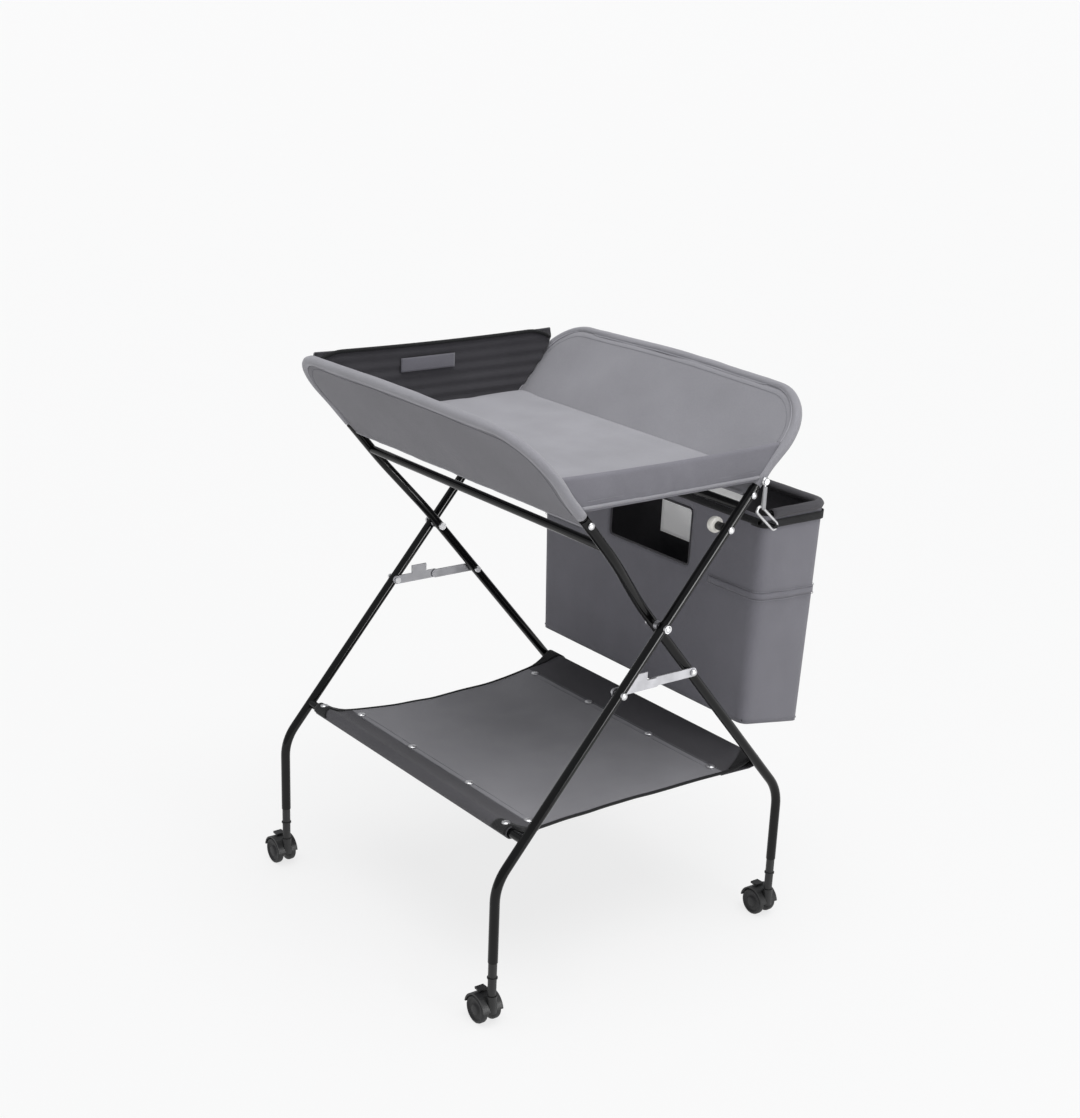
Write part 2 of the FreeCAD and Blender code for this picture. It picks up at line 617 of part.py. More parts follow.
def hamper_inserts():
    """The stiff board in the bottom and the pale panel on the inside of the back wall."""
    wall = size("bag_wall") + soft_gap
    slope = (size("bag_back_high") - size("bag_back_low")) / (size("bag_top") - size("bag_floor_back"))
    front, back = size("bag_front") + wall, size("bag_back_low") - wall
    fall = (size("bag_floor_front") - size("bag_floor_back")) / (size("bag_back_low") - size("bag_front"))
    half = size("bag_half_low") - wall
    front_z = size("bag_floor_front") + wall + soft_gap
    section = [Vector(-half, front, front_z), Vector(-half, back, front_z - fall * (back - front)),
               Vector(-half, back, front_z - fall * (back - front) + size("board_thickness")),
               Vector(-half, front, front_z + size("board_thickness"))]
    board = Part.Face(Part.makePolygon(section + section[:1])).extrude(Vector(2 * half, 0, 0))
    keep(shaped("hamper_base_board", board), "hamper_base_board")
    card = []
    for height in (size("card_sill"), size("bag_top")):
        back = size("bag_back_low") + slope * (height - size("bag_floor_back")) - wall - soft_gap
        card.append((back, height))
    half, thick = size("card_half_width"), size("card_thickness")
    section = [Vector(-half, card[0][0], card[0][1]), Vector(-half, card[1][0], card[1][1]),
               Vector(-half, card[1][0] - thick, card[1][1]), Vector(-half, card[0][0] - thick, card[0][1])]
    panel = Part.Face(Part.makePolygon(section + section[:1])).extrude(Vector(2 * half, 0, 0))
    keep(shaped("hamper_back_panel", panel), "hamper_back_panel")


def hanging_links(rod_y, rod_z):
    """A wire link at each end: an eye on a pin in the hoop, a shank and a long slot for the rod."""
    pin = on_leg(OUTER, size("link_pin_rise"))
    wire = size("wire_diameter")
    slot, lean_down = size("link_slot") / 2, math.radians(size("link_lean"))
    down = Vector(0, math.cos(lean_down), -math.sin(lean_down))
    rod_seat = slot - wire / 2 - size("rod_diameter") / 2 - soft_gap
    lower = Vector(0, rod_y, rod_z) - down * rod_seat
    upper = lower - down * size("link_length")
    across = Vector(0, -down.z, down.y)
    eye_radius = (size("link_pin_diameter") + size("hole_clearance") + wire) / 2
    eye_centre = Vector(0, pin.y, pin.z)
    foot = upper + across * slot
    for word, side in SIDES.items():
        shift = Vector(side * size("link_reach"), 0, 0)
        eye = Part.makeTorus(eye_radius, wire / 2, eye_centre + shift, Vector(1, 0, 0))
        runs = [Part.LineSegment(upper + across * slot, lower + across * slot).toShape(),
                Part.Arc(lower + across * slot, lower + down * slot, lower - across * slot).toShape(),
                Part.LineSegment(lower - across * slot, upper - across * slot).toShape(),
                Part.Arc(upper - across * slot, upper - down * slot, upper + across * slot).toShape()]
        path = Part.Wire(runs)
        ring = Part.Circle(upper + across * slot, down, wire / 2).toShape()
        loop = path.makePipeShell([Part.Wire([ring])], True, True)
        loop.translate(shift)
        top = eye_centre - Vector(0, 0, eye_radius)
        shank = Part.makeCylinder(wire / 2, (foot - top).Length, top + shift, foot - top)
        knuckle = Part.makeSphere(wire / 2, foot + shift)
        keep(shaped(f"hanging_link_{word}", eye.fuse([shank, knuckle, loop]).removeSplitter()),
             f"hanging_link_{word}")
    pins = []
    for word, side in SIDES.items():
        near = size("outer_half_span") + size("hoop_diameter") / 2
        far = size("link_reach") + wire / 2 + soft_gap
        ends = sorted((side * near, side * (far + soft_gap)))
        shank = rod_x(f"link_{word}_pin_shank", "sizes.link_pin_diameter / 2", ends[0], ends[1] - ends[0],
                      pin.y, pin.z)
        ends = sorted((side * far, side * (far + size("head_height") / 2)))
        head = rod_x(f"link_{word}_pin_head", "sizes.link_pin_head / 2", ends[0], ends[1] - ends[0],
                     pin.y, pin.z)
        pins.append(fused(f"link_{word}_pin", [shank, head]))
    keep(group("link_pins", pins), "link_pins")


hamper_bag()
end_y, end_z = hamper_rods()
hamper_inserts()
hanging_links(end_y, end_z)


# ---------------------------------------------------------------- ferrules and casters
def ferrule(name, x, y):
    """Plastic foot plug: a plug up the tube, a body below it with a ring, and a bore for the stem."""
    base = Placement(Vector(x, y, size("ferrule_foot")), Rotation())
    body = bound("Part::Cylinder", name + "_body", base, Radius="sizes.ferrule_diameter / 2",
                 Height="sizes.tube_foot - sizes.ferrule_foot")
    plug = bound("Part::Cylinder", name + "_plug", base,
                 Radius="sizes.leg_diameter / 2 - sizes.tube_wall - sizes.hole_clearance / 2",
                 Height="sizes.tube_foot - sizes.ferrule_foot + sizes.ferrule_plug")
    ring = bound("Part::Cylinder", name + "_ring", Placement(Vector(x, y, size("ferrule_ring_height")),
                 Rotation()), Radius="sizes.ferrule_ring / 2", Height="sizes.head_height / 2")
    bore = bound("Part::Cylinder", name + "_bore", base,
                 Radius="(sizes.stem_diameter + sizes.hole_clearance) / 2", Height="sizes.stem_length + 2")
    return cut(name, fused(name + "_solid", [body, plug, ring]), bore)


def caster(name, x, y):
    """Twin-wheel caster: hood and stem, axle, wheels and a brake tab on the hood."""
    wheel_radius = size("wheel_diameter") / 2
    axle_x = x - size("caster_trail")
    wheel_out = (size("wheel_spacing") + size("wheel_width")) / 2
    hood = bound("Part::Cylinder", name + "_shell", along_y(axle_x, y - wheel_out, wheel_radius),
                 Radius="sizes.wheel_diameter / 2 + sizes.hood_gap + sizes.hood_skin",
                 Height="sizes.wheel_spacing + sizes.wheel_width")
    low = bound("Part::Box", name + "_below", Placement(Vector(axle_x - 2 * wheel_radius, y - 2 * wheel_radius,
                -wheel_radius), Rotation()), Length="sizes.wheel_diameter * 2", Width="sizes.wheel_diameter * 2",
                Height="sizes.wheel_diameter / 2 + sizes.hood_cut")
    boss = bound("Part::Cylinder", name + "_boss", Placement(Vector(x, y, wheel_radius), Rotation()),
                 Radius="sizes.boss_diameter / 2",
                 Height="sizes.ferrule_foot - sizes.wheel_diameter / 2 - sizes.hole_clearance * 4")
    arch = fused(name + "_arch", [cut(name + "_cap", hood, low), boss])
    room = []
    for word, side in SIDES.items():
        start = size("web_thickness") / 2 if side > 0 else -2 * wheel_radius
        hollow = bound("Part::Cylinder", f"{name}_{word}_room", along_y(axle_x, y + start, wheel_radius),
                       Radius="sizes.wheel_diameter / 2 + sizes.hood_gap",
                       Height="sizes.wheel_diameter - sizes.web_thickness / 2")
        room.append(hollow)
    web = bound("Part::Cylinder", name + "_web", along_y(axle_x, y - size("web_thickness") / 2, wheel_radius),
                Radius="sizes.web_diameter / 2", Height="sizes.web_thickness")
    stem_foot = size("hood_cut") + size("stem_seat")
    stem = bound("Part::Cylinder", name + "_stem", Placement(Vector(x, y, stem_foot), Rotation()),
                 Radius="sizes.stem_diameter / 2",
                 Height="sizes.ferrule_foot + sizes.stem_length - sizes.hood_cut - sizes.stem_seat")
    hole = bound("Part::Cylinder", name + "_axle_hole", along_y(axle_x, y - wheel_radius, wheel_radius),
                 Radius="(sizes.axle_diameter + sizes.hole_clearance) / 2", Height="sizes.wheel_diameter")
    body = fused(name + "_solid", [cut(name + "_open", arch, fused(name + "_rooms", room)), web, stem])
    keep(cut(name + "_fork", body, hole), name + "_fork")

    keep(bound("Part::Cylinder", name + "_axle", along_y(axle_x, y - wheel_out, wheel_radius),
               Radius="sizes.axle_diameter / 2", Height="sizes.wheel_spacing + sizes.wheel_width"),
         name + "_axle")
    wheels = []
    for word, side in SIDES.items():
        start = y + side * size("wheel_spacing") / 2 - size("wheel_width") / 2
        disc = bound("Part::Cylinder", f"{name}_{word}_disc", along_y(axle_x, start, wheel_radius),
                     Radius="sizes.wheel_diameter / 2", Height="sizes.wheel_width")
        bore = bound("Part::Cylinder", f"{name}_{word}_bore", along_y(axle_x, start, wheel_radius),
                     Radius="sizes.axle_diameter / 2", Height="sizes.wheel_width")
        doc.recompute()
        rim = doc.addObject("Part::Fillet", f"{name}_{word}_rim")
        rim.Base = disc
        rings = [i for i, edge in enumerate(disc.Shape.Edges, start=1)
                 if edge.Curve.TypeId == "Part::GeomCircle"]
        rim.Edges = [(i, size("hood_skin"), size("hood_skin")) for i in rings]
        wheels.append(cut(f"{name}_{word}_wheel", rim, bore))
    keep(group(name + "_wheels", wheels), name + "_wheels")

    top = 2 * wheel_radius + size("hood_gap") + size("hood_skin") + size("brake_gap")
    corner = Vector(axle_x - size("brake_length"), y - size("brake_width") / 2, top)
    keep(bound("Part::Box", name + "_brake", Placement(corner, Rotation()), Length="sizes.brake_length",
               Width="sizes.brake_width", Height="sizes.brake_thickness"), name + "_brake")


for frame_word, half_span, y in (("outer", size("outer_half_span"), -size("foot_offset")),
                                 ("inner", size("inner_half_span"), size("foot_offset"))):
    keep(group(f"{frame_word}_ferrules", [ferrule(f"{frame_word}_{word}_ferrule", side * half_span, y)
                                          for word, side in SIDES.items()]), f"{frame_word}_ferrules")
    for word, side in SIDES.items():
        caster(f"caster_{frame_word}_{word}", side * half_span, y)


# ---------------------------------------------------------------- checks and export
doc.recompute()
for item in doc.Objects:
    if "Invalid" in item.State or "Error" in item.State:
        raise RuntimeError(f"{item.Name} failed: {item.State}")
for part in finished:
    if part.Shape.isNull() or not part.Shape.isValid() or not part.Shape.Solids:
        raise RuntimeError(f"{part.Label} has no valid solid")
    part.Shape.exportStep(f"parts/{part.Label}.step")
print(len(finished), "pieces written")
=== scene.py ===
"""Folding changing table: cloth, padding, stitching, finishes, floor, light and camera."""
import functools
import json
import math

import bmesh
import bpy
from mathutils import Matrix, Vector, noise


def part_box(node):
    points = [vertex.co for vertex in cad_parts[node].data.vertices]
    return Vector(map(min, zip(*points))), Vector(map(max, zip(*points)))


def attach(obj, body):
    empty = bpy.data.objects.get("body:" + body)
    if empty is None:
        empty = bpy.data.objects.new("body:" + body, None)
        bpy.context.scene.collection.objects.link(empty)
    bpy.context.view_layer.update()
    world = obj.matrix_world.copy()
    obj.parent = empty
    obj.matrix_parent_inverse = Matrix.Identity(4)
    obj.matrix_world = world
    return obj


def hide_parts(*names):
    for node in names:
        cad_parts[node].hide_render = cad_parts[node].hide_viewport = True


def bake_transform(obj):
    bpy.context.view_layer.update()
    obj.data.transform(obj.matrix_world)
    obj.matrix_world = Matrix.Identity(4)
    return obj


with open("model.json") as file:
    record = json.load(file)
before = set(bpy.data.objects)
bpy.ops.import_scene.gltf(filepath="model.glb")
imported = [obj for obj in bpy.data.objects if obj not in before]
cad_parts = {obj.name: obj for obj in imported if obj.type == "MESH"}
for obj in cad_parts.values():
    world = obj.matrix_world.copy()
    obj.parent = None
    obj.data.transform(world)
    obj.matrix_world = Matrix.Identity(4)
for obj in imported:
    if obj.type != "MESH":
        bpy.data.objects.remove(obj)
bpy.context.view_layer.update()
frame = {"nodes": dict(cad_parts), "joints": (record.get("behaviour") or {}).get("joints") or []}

bl_info = {
    "name": "Folding changing table",
    "version": (1, 0, 0),
    "blender": (4, 5, 0),
    "location": "View3D > Sidebar > Changing table",
    "description": "Cloth, padding, hardware and finishes of a folding changing table",
    "category": "Object",
}

JOINTS = {joint["name"]: joint for joint in frame["joints"]}
BOXES = {name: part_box(name) for name in frame["nodes"]}
OUTER, INNER = 1, -1
LEFT, RIGHT = -1, 1
FRAME_WORD = {OUTER: "outer", INNER: "inner"}
FRAME_BODY = {OUTER: "outer_frame", INNER: "inner_frame"}

# Sizes that the frame's boxes don't give, in metres, and the number of columns in the shelf's cloth.
LEG_RADIUS = 0.008
ROD_RADIUS = 0.0035
WHEEL_WIDTH = 0.012
EDGE_CURVE = 0.026
SLING_COLUMNS = 72


# ---------------------------------------------------------------- sizes and colours a user may change
def length(name, description, default):
    """A length property, in metres."""
    return bpy.props.FloatProperty(name=name, description=description, default=default, unit="LENGTH")


class TableSizes(bpy.types.PropertyGroup):
    """Sizes of the soft parts, in metres."""

    hoop_radius: length("Hoop radius", "Radius of the tube inside the rim", 0.0064)
    sleeve_radius: length("Sleeve radius", "Radius of the cloth round the hoop", 0.0080)
    wall_thickness: length("Wall thickness", "Thickness of a tray wall", 0.0034)
    rim_rise: length("Rim rise", "Hoop corners above the leg tops, along the leg", 0.170)
    crown: length("Crown", "Arch of the hoop's top", 0.009)
    flare_rise: length("Flare rise", "Where the hoop starts to widen", 0.044)
    widening: length("Widening", "How far each hoop corner stands out", 0.020)
    corner_radius: length("Corner radius", "Bend of the hoop corners", 0.085)
    wall_drop: length("Wall drop", "Lower edge of a wall below the leg tops", 0.015)
    stitch_pitch: length("Stitch pitch", "Distance from stitch to stitch", 0.0046)
    pad_swell: length("Pad swell", "How far the pad's cloth may bulge", 0.006)
    sling_sag: length("Shelf sag", "Sag of the shelf between its bars", 0.014)
    window_left: length("Window left", "Left edge of the hamper's window", -0.089)
    window_right: length("Window right", "Right edge of the hamper's window", 0.121)
    window_sill: length("Window sill", "Lower edge of the hamper's window", 0.608)
    window_head: length("Window head", "Upper edge of the hamper's window", 0.706)


def colour(name, description, default):
    """A colour property, scene-linear."""
    return bpy.props.FloatVectorProperty(
        name=name, description=description, default=default, subtype="COLOR", size=3, min=0.0, max=1.0)


class TableColours(bpy.types.PropertyGroup):
    """Base colours of the finishes, scene-linear."""

    tray_cloth: colour("Tray cloth", "Grey cloth of the tray", (0.265, 0.262, 0.285))
    # Painted shade: this is a darker copy of the tray cloth for the walls' outsides, which face down.
    wall_cloth_painted_shade: colour("Wall cloth", "Darker outside of the tray walls", (0.155, 0.152, 0.168))
    shelf_cloth: colour("Shelf cloth", "Darker grey cloth of the shelf", (0.226, 0.223, 0.240))
    hem_cloth: colour("Hem cloth", "Dark hems of the shelf", (0.074, 0.072, 0.079))
    hamper_cloth: colour("Hamper cloth", "Grey cloth of the hamper", (0.170, 0.167, 0.190))
    lining: colour("Lining", "Charcoal lining", (0.060, 0.058, 0.065))
    binding: colour("Binding", "Black edge binding", (0.012, 0.012, 0.013))
    # This is also the colour of the pale panel's glow, which is painted light.
    pale_cloth: colour("Pale panel", "Pale panel inside the hamper", (0.86, 0.86, 0.86))
    webbing: colour("Webbing", "Straps of the hamper", (0.40, 0.40, 0.41))
    thread: colour("Thread", "Sewing thread", (0.22, 0.22, 0.24))
    tube: colour("Tube", "Black powder coat", (0.0020, 0.0020, 0.0022))
    bright: colour("Bright steel", "Rivets and snaps", (0.80, 0.80, 0.81))
    zinc: colour("Zinc", "Brace links and wire", (0.46, 0.46, 0.48))
    knob: colour("Knob", "Cream plastic", (0.92, 0.90, 0.85))
    caster: colour("Caster", "Dark plastic", (0.0045, 0.0045, 0.005))
    tyre: colour("Wheel", "Wheel tread", (0.0070, 0.0070, 0.0078))
    floor: colour("Floor", "Pale floor", (0.14, 0.14, 0.14))


def box(node):
    """Low and high corners of one of the frame's pieces."""
    return BOXES[node]


def middle(node):
    """Depth and height of the middle of one of the frame's pieces."""
    low, high = box(node)
    return (low[1] + high[1]) / 2, (low[2] + high[2]) / 2


def sizes():
    """The sizes as the user has set them."""
    return bpy.context.scene.table_sizes


def colours():
    """The colours as the user has set them."""
    return bpy.context.scene.table_colours


# ---------------------------------------------------------------- shader building
class Signal:
    """A shader socket that takes part in sums; each operator adds a Math node."""

    def __init__(self, finish, socket):
        self.finish = finish
        self.socket = socket

    def _math(self, operation, *terms):
        return self.finish.node("ShaderNodeMath", {"operation": operation}, dict(enumerate(terms)))

    def __add__(self, other):
        return self._math("ADD", self, other)

    def __sub__(self, other):
        return self._math("SUBTRACT", self, other)

    def __rsub__(self, other):
        return self._math("SUBTRACT", other, self)

    def __mul__(self, other):
        return self._math("MULTIPLY", self, other)

    __radd__ = __add__
    __rmul__ = __mul__

    def sine(self):
        return self._math("SINE", self)

    def size(self):
        return self._math("ABSOLUTE", self)

    def above(self, limit):
        return self._math("GREATER_THAN", self, limit)

    def ramp(self, low, high):
        """Zero at low, one at high, with a smooth step between."""
        return self.finish.node("ShaderNodeMapRange", {"interpolation_type": "SMOOTHSTEP"},
                                {"Value": self, "From Min": low, "From Max": high})


class Finish:
    """A material under construction on one Principled shader."""

    def __init__(self, name, **constants):
        self.material = bpy.data.materials.new(name)
        self.material.use_nodes = True
        self.tree = self.material.node_tree
        self.shader = self.tree.nodes["Principled BSDF"]
        for socket, value in constants.items():
            self.put(self.shader.inputs[socket.replace("_", " ")], value)

    def put(self, socket, value):
        if isinstance(value, Signal):
            self.tree.links.new(value.socket, socket)
        elif socket.type == "RGBA" and len(value) == 3:
            socket.default_value = (*value, 1.0)
        else:
            socket.default_value = value

    def node(self, kind, settings=None, sockets=None, output=0):
        made = self.tree.nodes.new(kind)
        for name, value in (settings or {}).items():
            setattr(made, name, value)
        for name, value in (sockets or {}).items():
            self.put(made.inputs[name], value)
        return Signal(self, made.outputs[output])

    def place(self):
        return self.node("ShaderNodeTexCoord", output="Object")

    def split(self, vector):
        parts = self.node("ShaderNodeSeparateXYZ", sockets={"Vector": vector}).socket.node
        return [Signal(self, parts.outputs[axis]) for axis in "XYZ"]

    def grain(self, scale, detail=3.0, vector=None):
        return self.node("ShaderNodeTexNoise", sockets={
            "Vector": vector or self.place(), "Scale": scale, "Detail": detail})

    def blend(self, mask, low, high):
        mixed = self.node("ShaderNodeMix", {"data_type": "RGBA"}).socket.node
        for socket, value in (("Factor_Float", mask), ("A_Color", low), ("B_Color", high)):
            target = next(s for s in mixed.inputs if s.identifier == socket)
            self.put(target, value)
        return Signal(self, next(s for s in mixed.outputs if s.identifier == "Result_Color"))

    def bump(self, height, distance, strength=1.0):
        normal = self.node("ShaderNodeBump", sockets={
            "Height": height, "Distance": distance, "Strength": strength})
        self.put(self.shader.inputs["Normal"], normal)

    def base(self, value):
        self.put(self.shader.inputs["Base Color"], value)

    def rough(self, value):
        self.put(self.shader.inputs["Roughness"], value)


def shade(rgb, factor):
    """A lighter or darker colour, kept within range."""
    return tuple(min(1.0, channel * factor) for channel in rgb)


def woven(name, rgb, thread=0.0009, sheen=0.25, folds=0.0, painted_glow=0.0):
    """Plain weave on the piece's own cloth map, with slow fading and a soft sheen; a glow, where asked, is
    emission in the cloth's own colour, which is painted light.
    """
    finish = Finish(name, Roughness=0.86, Specular_IOR_Level=0.2, Sheen_Weight=sheen, Sheen_Roughness=0.5,
                    Emission_Color=rgb, Emission_Strength=painted_glow)
    across, along, _ = finish.split(finish.node("ShaderNodeUVMap", {"uv_map": "cloth"}))
    turn = math.pi / thread
    warp, weft = (across * turn).sine(), (along * turn).sine()
    over = (warp * weft).above(0.0)
    threads = warp.size() * over + weft.size() * (1.0 - over)
    fading = finish.grain(9.0, 4.0)
    slub = finish.grain(420.0, 2.0)
    tone = (threads * 0.35 + fading * 0.45 + slub * 0.25).ramp(0.15, 0.95)
    finish.base(finish.blend(tone, shade(rgb, 0.76), shade(rgb, 1.20)))
    finish.rough(0.92 - threads * 0.12)
    height = threads * 0.5 + slub * 0.2
    if folds:
        height = height + finish.grain(26.0, 2.0) * folds
    finish.bump(height, 0.0005, 0.55)
    return finish.material


def felt(name, rgb, sheen=0.2):
    """Close cloth for pieces that carry no cloth map."""
    finish = Finish(name, Roughness=0.9, Sheen_Weight=sheen)
    x, y, z = finish.split(finish.place())
    turn = math.pi / 0.0010
    threads = ((x + z * 0.35) * turn).sine().size() * 0.5 + ((y - z * 0.35) * turn).sine().size() * 0.5
    tone = (threads * 0.4 + finish.grain(11.0, 4.0) * 0.6).ramp(0.1, 0.9)
    finish.base(finish.blend(tone, shade(rgb, 0.80), shade(rgb, 1.18)))
    finish.bump(threads, 0.0003, 0.5)
    return finish.material


def powder_coat(name, rgb):
    """Glossy paint baked on the tubes, with fine speckle and wear."""
    finish = Finish(name, Roughness=0.3, Specular_IOR_Level=0.05, Coat_Weight=0.45, Coat_Roughness=0.06)
    speckle = finish.grain(900.0, 2.0)
    wear = finish.grain(14.0, 5.0)
    finish.base(finish.blend(wear.ramp(0.35, 0.75), shade(rgb, 0.8), shade(rgb, 1.7)))
    finish.rough(0.18 + wear * 0.10)
    finish.bump(speckle, 0.0002, 0.25)
    return finish.material


def steel(name, rgb, roughness, stretch=(1.0, 1.0, 1.0)):
    """Bare or plated steel with fine drawn lines along one axis."""
    finish = Finish(name, Metallic=1.0, Roughness=roughness)
    lines = finish.node("ShaderNodeMapping", sockets={"Vector": finish.place(), "Scale": stretch})
    drawn = finish.grain(700.0, 2.0, lines)
    cloud = finish.grain(40.0, 3.0)
    finish.base(finish.blend(cloud.ramp(0.3, 0.7), shade(rgb, 0.86), shade(rgb, 1.06)))
    finish.rough(roughness - 0.06 + drawn * 0.14)
    finish.bump(drawn, 0.0001, 0.3)
    return finish.material


def moulded(name, rgb, roughness, texture=0.3, coat=0.0):
    """Moulded plastic with spark-eroded grain and handling marks."""
    finish = Finish(name, Roughness=roughness, Coat_Weight=coat, Coat_Roughness=0.1)
    pits = finish.grain(1300.0, 2.0)
    marks = finish.grain(30.0, 5.0)
    finish.base(finish.blend(marks.ramp(0.3, 0.75), shade(rgb, 0.85), shade(rgb, 1.25)))
    finish.rough(roughness - 0.05 + marks * 0.14)
    finish.bump(pits, 0.0002, texture)
    return finish.material


FINISHES = {
    "tray_cloth": lambda c: woven("tray_cloth", c.tray_cloth, sheen=0.3),
    # The walls' outside cloth is the tray cloth darkened, which is painted shade.
    "wall_cloth_painted_shade": lambda c: woven("wall_cloth_painted_shade", c.wall_cloth_painted_shade, sheen=0.2),
    "shelf_cloth": lambda c: woven("shelf_cloth", c.shelf_cloth, thread=0.0011),
    "hem_cloth": lambda c: woven("hem_cloth", c.hem_cloth, thread=0.0011, sheen=0.1),
    "hamper_cloth": lambda c: woven("hamper_cloth", c.hamper_cloth, thread=0.0010, folds=0.8),
    "lining_cloth": lambda c: woven("lining_cloth", c.lining, sheen=0.15),
    "binding_tape": lambda c: woven("binding_tape", c.binding, thread=0.0007, sheen=0.1),
    # The pale panel glows. This is painted light that keeps it bright in the hamper's shade.
    "pale_cloth": lambda c: woven("pale_cloth", c.pale_cloth, thread=0.0008, painted_glow=0.22),
    "strap_webbing": lambda c: woven("strap_webbing", c.webbing, thread=0.0007, sheen=0.1),
    "pad_cloth": lambda c: felt("pad_cloth", c.tray_cloth),
    "welt": lambda c: felt("welt", shade(c.tray_cloth, 1.25)),
    "sewing_thread": lambda c: moulded("sewing_thread", c.thread, 0.7),
    "black_coat": lambda c: powder_coat("black_coat", c.tube),
    "bright_steel": lambda c: steel("bright_steel", c.bright, 0.40),
    "zinc_plate": lambda c: steel("zinc_plate", c.zinc, 0.46, (1.0, 0.06, 1.0)),
    "zinc_wire": lambda c: steel("zinc_wire", shade(c.bright, 0.75), 0.4),
    "cream_plastic": lambda c: moulded("cream_plastic", c.knob, 0.28, 0.1, 0.3),
    "caster_plastic": lambda c: moulded("caster_plastic", c.caster, 0.42),
    "wheel_tread": lambda c: moulded("wheel_tread", c.tyre, 0.55, 0.5),
    "stiff_board": lambda c: moulded("stiff_board", c.lining, 0.7),
}


def finish_of(name):
    """The named finish, made once."""
    return bpy.data.materials.get(name) or FINISHES[name](colours())


# ---------------------------------------------------------------- shape building
def linked(name, data):
    """A new object in the scene."""
    piece = bpy.data.objects.new(name, data)
    bpy.context.scene.collection.objects.link(piece)
    return piece


def mesh_piece(name, points, faces, finish, maps=None):
    """A mesh object with smooth faces and an optional cloth map in metres, one pair a point."""
    mesh = bpy.data.meshes.new(name)
    mesh.from_pydata([tuple(p) for p in points], [], faces)
    if maps:
        layer = mesh.uv_layers.new(name="cloth")
        for loop in mesh.loops:
            layer.data[loop.index].uv = maps[loop.vertex_index]
    mesh.polygons.foreach_set("use_smooth", [True] * len(mesh.polygons))
    mesh.materials.append(finish_of(finish))
    mesh.update()
    return linked(name, mesh)


def face_outwards(piece):
    """Merges doubles and turns every face of a closed piece outwards."""
    edit = bmesh.new()
    edit.from_mesh(piece.data)
    bmesh.ops.remove_doubles(edit, verts=edit.verts, dist=1e-6)
    bmesh.ops.recalc_face_normals(edit, faces=edit.faces)
    edit.to_mesh(piece.data)
    edit.free()
    return piece


def thicken(piece, thickness, offset=0.0):
    """Gives a single layer of cloth its thickness."""
    wall = piece.modifiers.new("thickness", "SOLIDIFY")
    wall.thickness = thickness
    wall.offset = offset
    return wall


def quads(rows, columns, closed=False, skip=None):
    """Faces between neighbouring rows of points; closed joins a row's last point to its first."""
    faces = []
    for i in range(rows - 1):
        for j in range(columns if closed else columns - 1):
            if skip and skip(i, j):
                continue
            k = (j + 1) % columns
            faces.append((i * columns + j, i * columns + k, (i + 1) * columns + k, (i + 1) * columns + j))
    return faces


def end_faces(segments, total):
    """The two faces that close a ring-built piece."""
    return [tuple(range(segments)), tuple(reversed(range(total - segments, total)))]


def lattice(columns, lanes, place):
    """Rows of points; place(u, v) gives each one, with u along a row and v from row to row."""
    return [[place(j / columns, i / lanes) for j in range(columns + 1)] for i in range(lanes + 1)]


def line_length(line):
    """Length of a line of points."""
    return sum((b - a).length for a, b in zip(line, line[1:]))


def grid_piece(name, rows, finish, thickness=0.0, closed=False, skip=None):
    """A cloth grid. Rows of points; the cloth map measures along a row and from row to row."""
    count = len(rows[0])
    across = [[0.0] * count for _ in rows]
    along = [[0.0] * count for _ in rows]
    for i, row in enumerate(rows):
        for j in range(count):
            if j:
                across[i][j] = across[i][j - 1] + (row[j] - row[j - 1]).length
            if i:
                along[i][j] = along[i - 1][j] + (row[j] - rows[i - 1][j]).length
    maps = [(across[i][j] - across[i][-1] / 2, along[i][j]) for i in range(len(rows)) for j in range(count)]
    points = [point for row in rows for point in row]
    piece = mesh_piece(name, points, quads(len(rows), count, closed, skip), finish, maps)
    if thickness:
        thicken(piece, thickness).use_even_offset = True
    return piece


def applied(piece):
    """Replaces a piece's mesh with what its modifiers give."""
    bpy.context.view_layer.update()
    graph = bpy.context.evaluated_depsgraph_get()
    result = bpy.data.meshes.new_from_object(piece.evaluated_get(graph))
    piece.modifiers.clear()
    piece.data = result
    return piece


def rounded_path(points, radii, step=0.008):
    """Even samples along straight runs joined by tangent arcs."""
    path, start = [], points[0]

    def run(a, b):
        """Samples of a straight run, without its last point."""
        count = max(1, round((b - a).length / step))
        path.extend(a.lerp(b, i / count) for i in range(count))

    for index, radius in enumerate(radii, start=1):
        corner = points[index]
        back, ahead = (points[index - 1] - corner).normalized(), (points[index + 1] - corner).normalized()
        half = back.angle(ahead) / 2
        reach = radius / math.tan(half)
        first, last = corner + back * reach, corner + ahead * reach
        run(start, first)
        centre = corner + (back + ahead).normalized() * (radius / math.sin(half))
        count = max(2, round(radius * (math.pi - 2 * half) / step))
        path.extend(centre + (first - centre).slerp(last - centre, i / count) * radius for i in range(count))
        start = last
    run(start, points[-1])
    path.append(points[-1].copy())
    return path


def frames_along(path, up):
    """A (centre, side, top) frame at each point, with its top kept near the given direction."""
    result = []
    for i, centre in enumerate(path):
        ahead = (path[min(i + 1, len(path) - 1)] - path[max(i - 1, 0)]).normalized()
        side = ahead.cross(up).normalized()
        result.append((centre, side, side.cross(ahead).normalized()))
    return result


def tube_piece(name, path, radius, finish, segments=20, up=Vector((0, 0, 1)), capped=True):
    """A round piece along a path; radius is a number or a function of (index, angle)."""
    width = radius if callable(radius) else (lambda index, angle: radius)
    maps, points = [], []
    length = 0.0
    for i, (centre, side, top) in enumerate(frames_along(path, up)):
        length += (centre - path[i - 1]).length if i else 0.0
        for j in range(segments):
            angle = 2 * math.pi * j / segments
            r = width(i, angle)
            points.append(centre + side * (r * math.cos(angle)) + top * (r * math.sin(angle)))
            maps.append((r * angle, length))
    faces = quads(len(path), segments, closed=True)
    if capped:
        faces += end_faces(segments, len(points))
    return face_outwards(mesh_piece(name, points, faces, finish, maps))


def rolled(piece, path, radius, *around):
    thicken(piece, 0.0011, -1.0)
    line_length(path)
    return piece


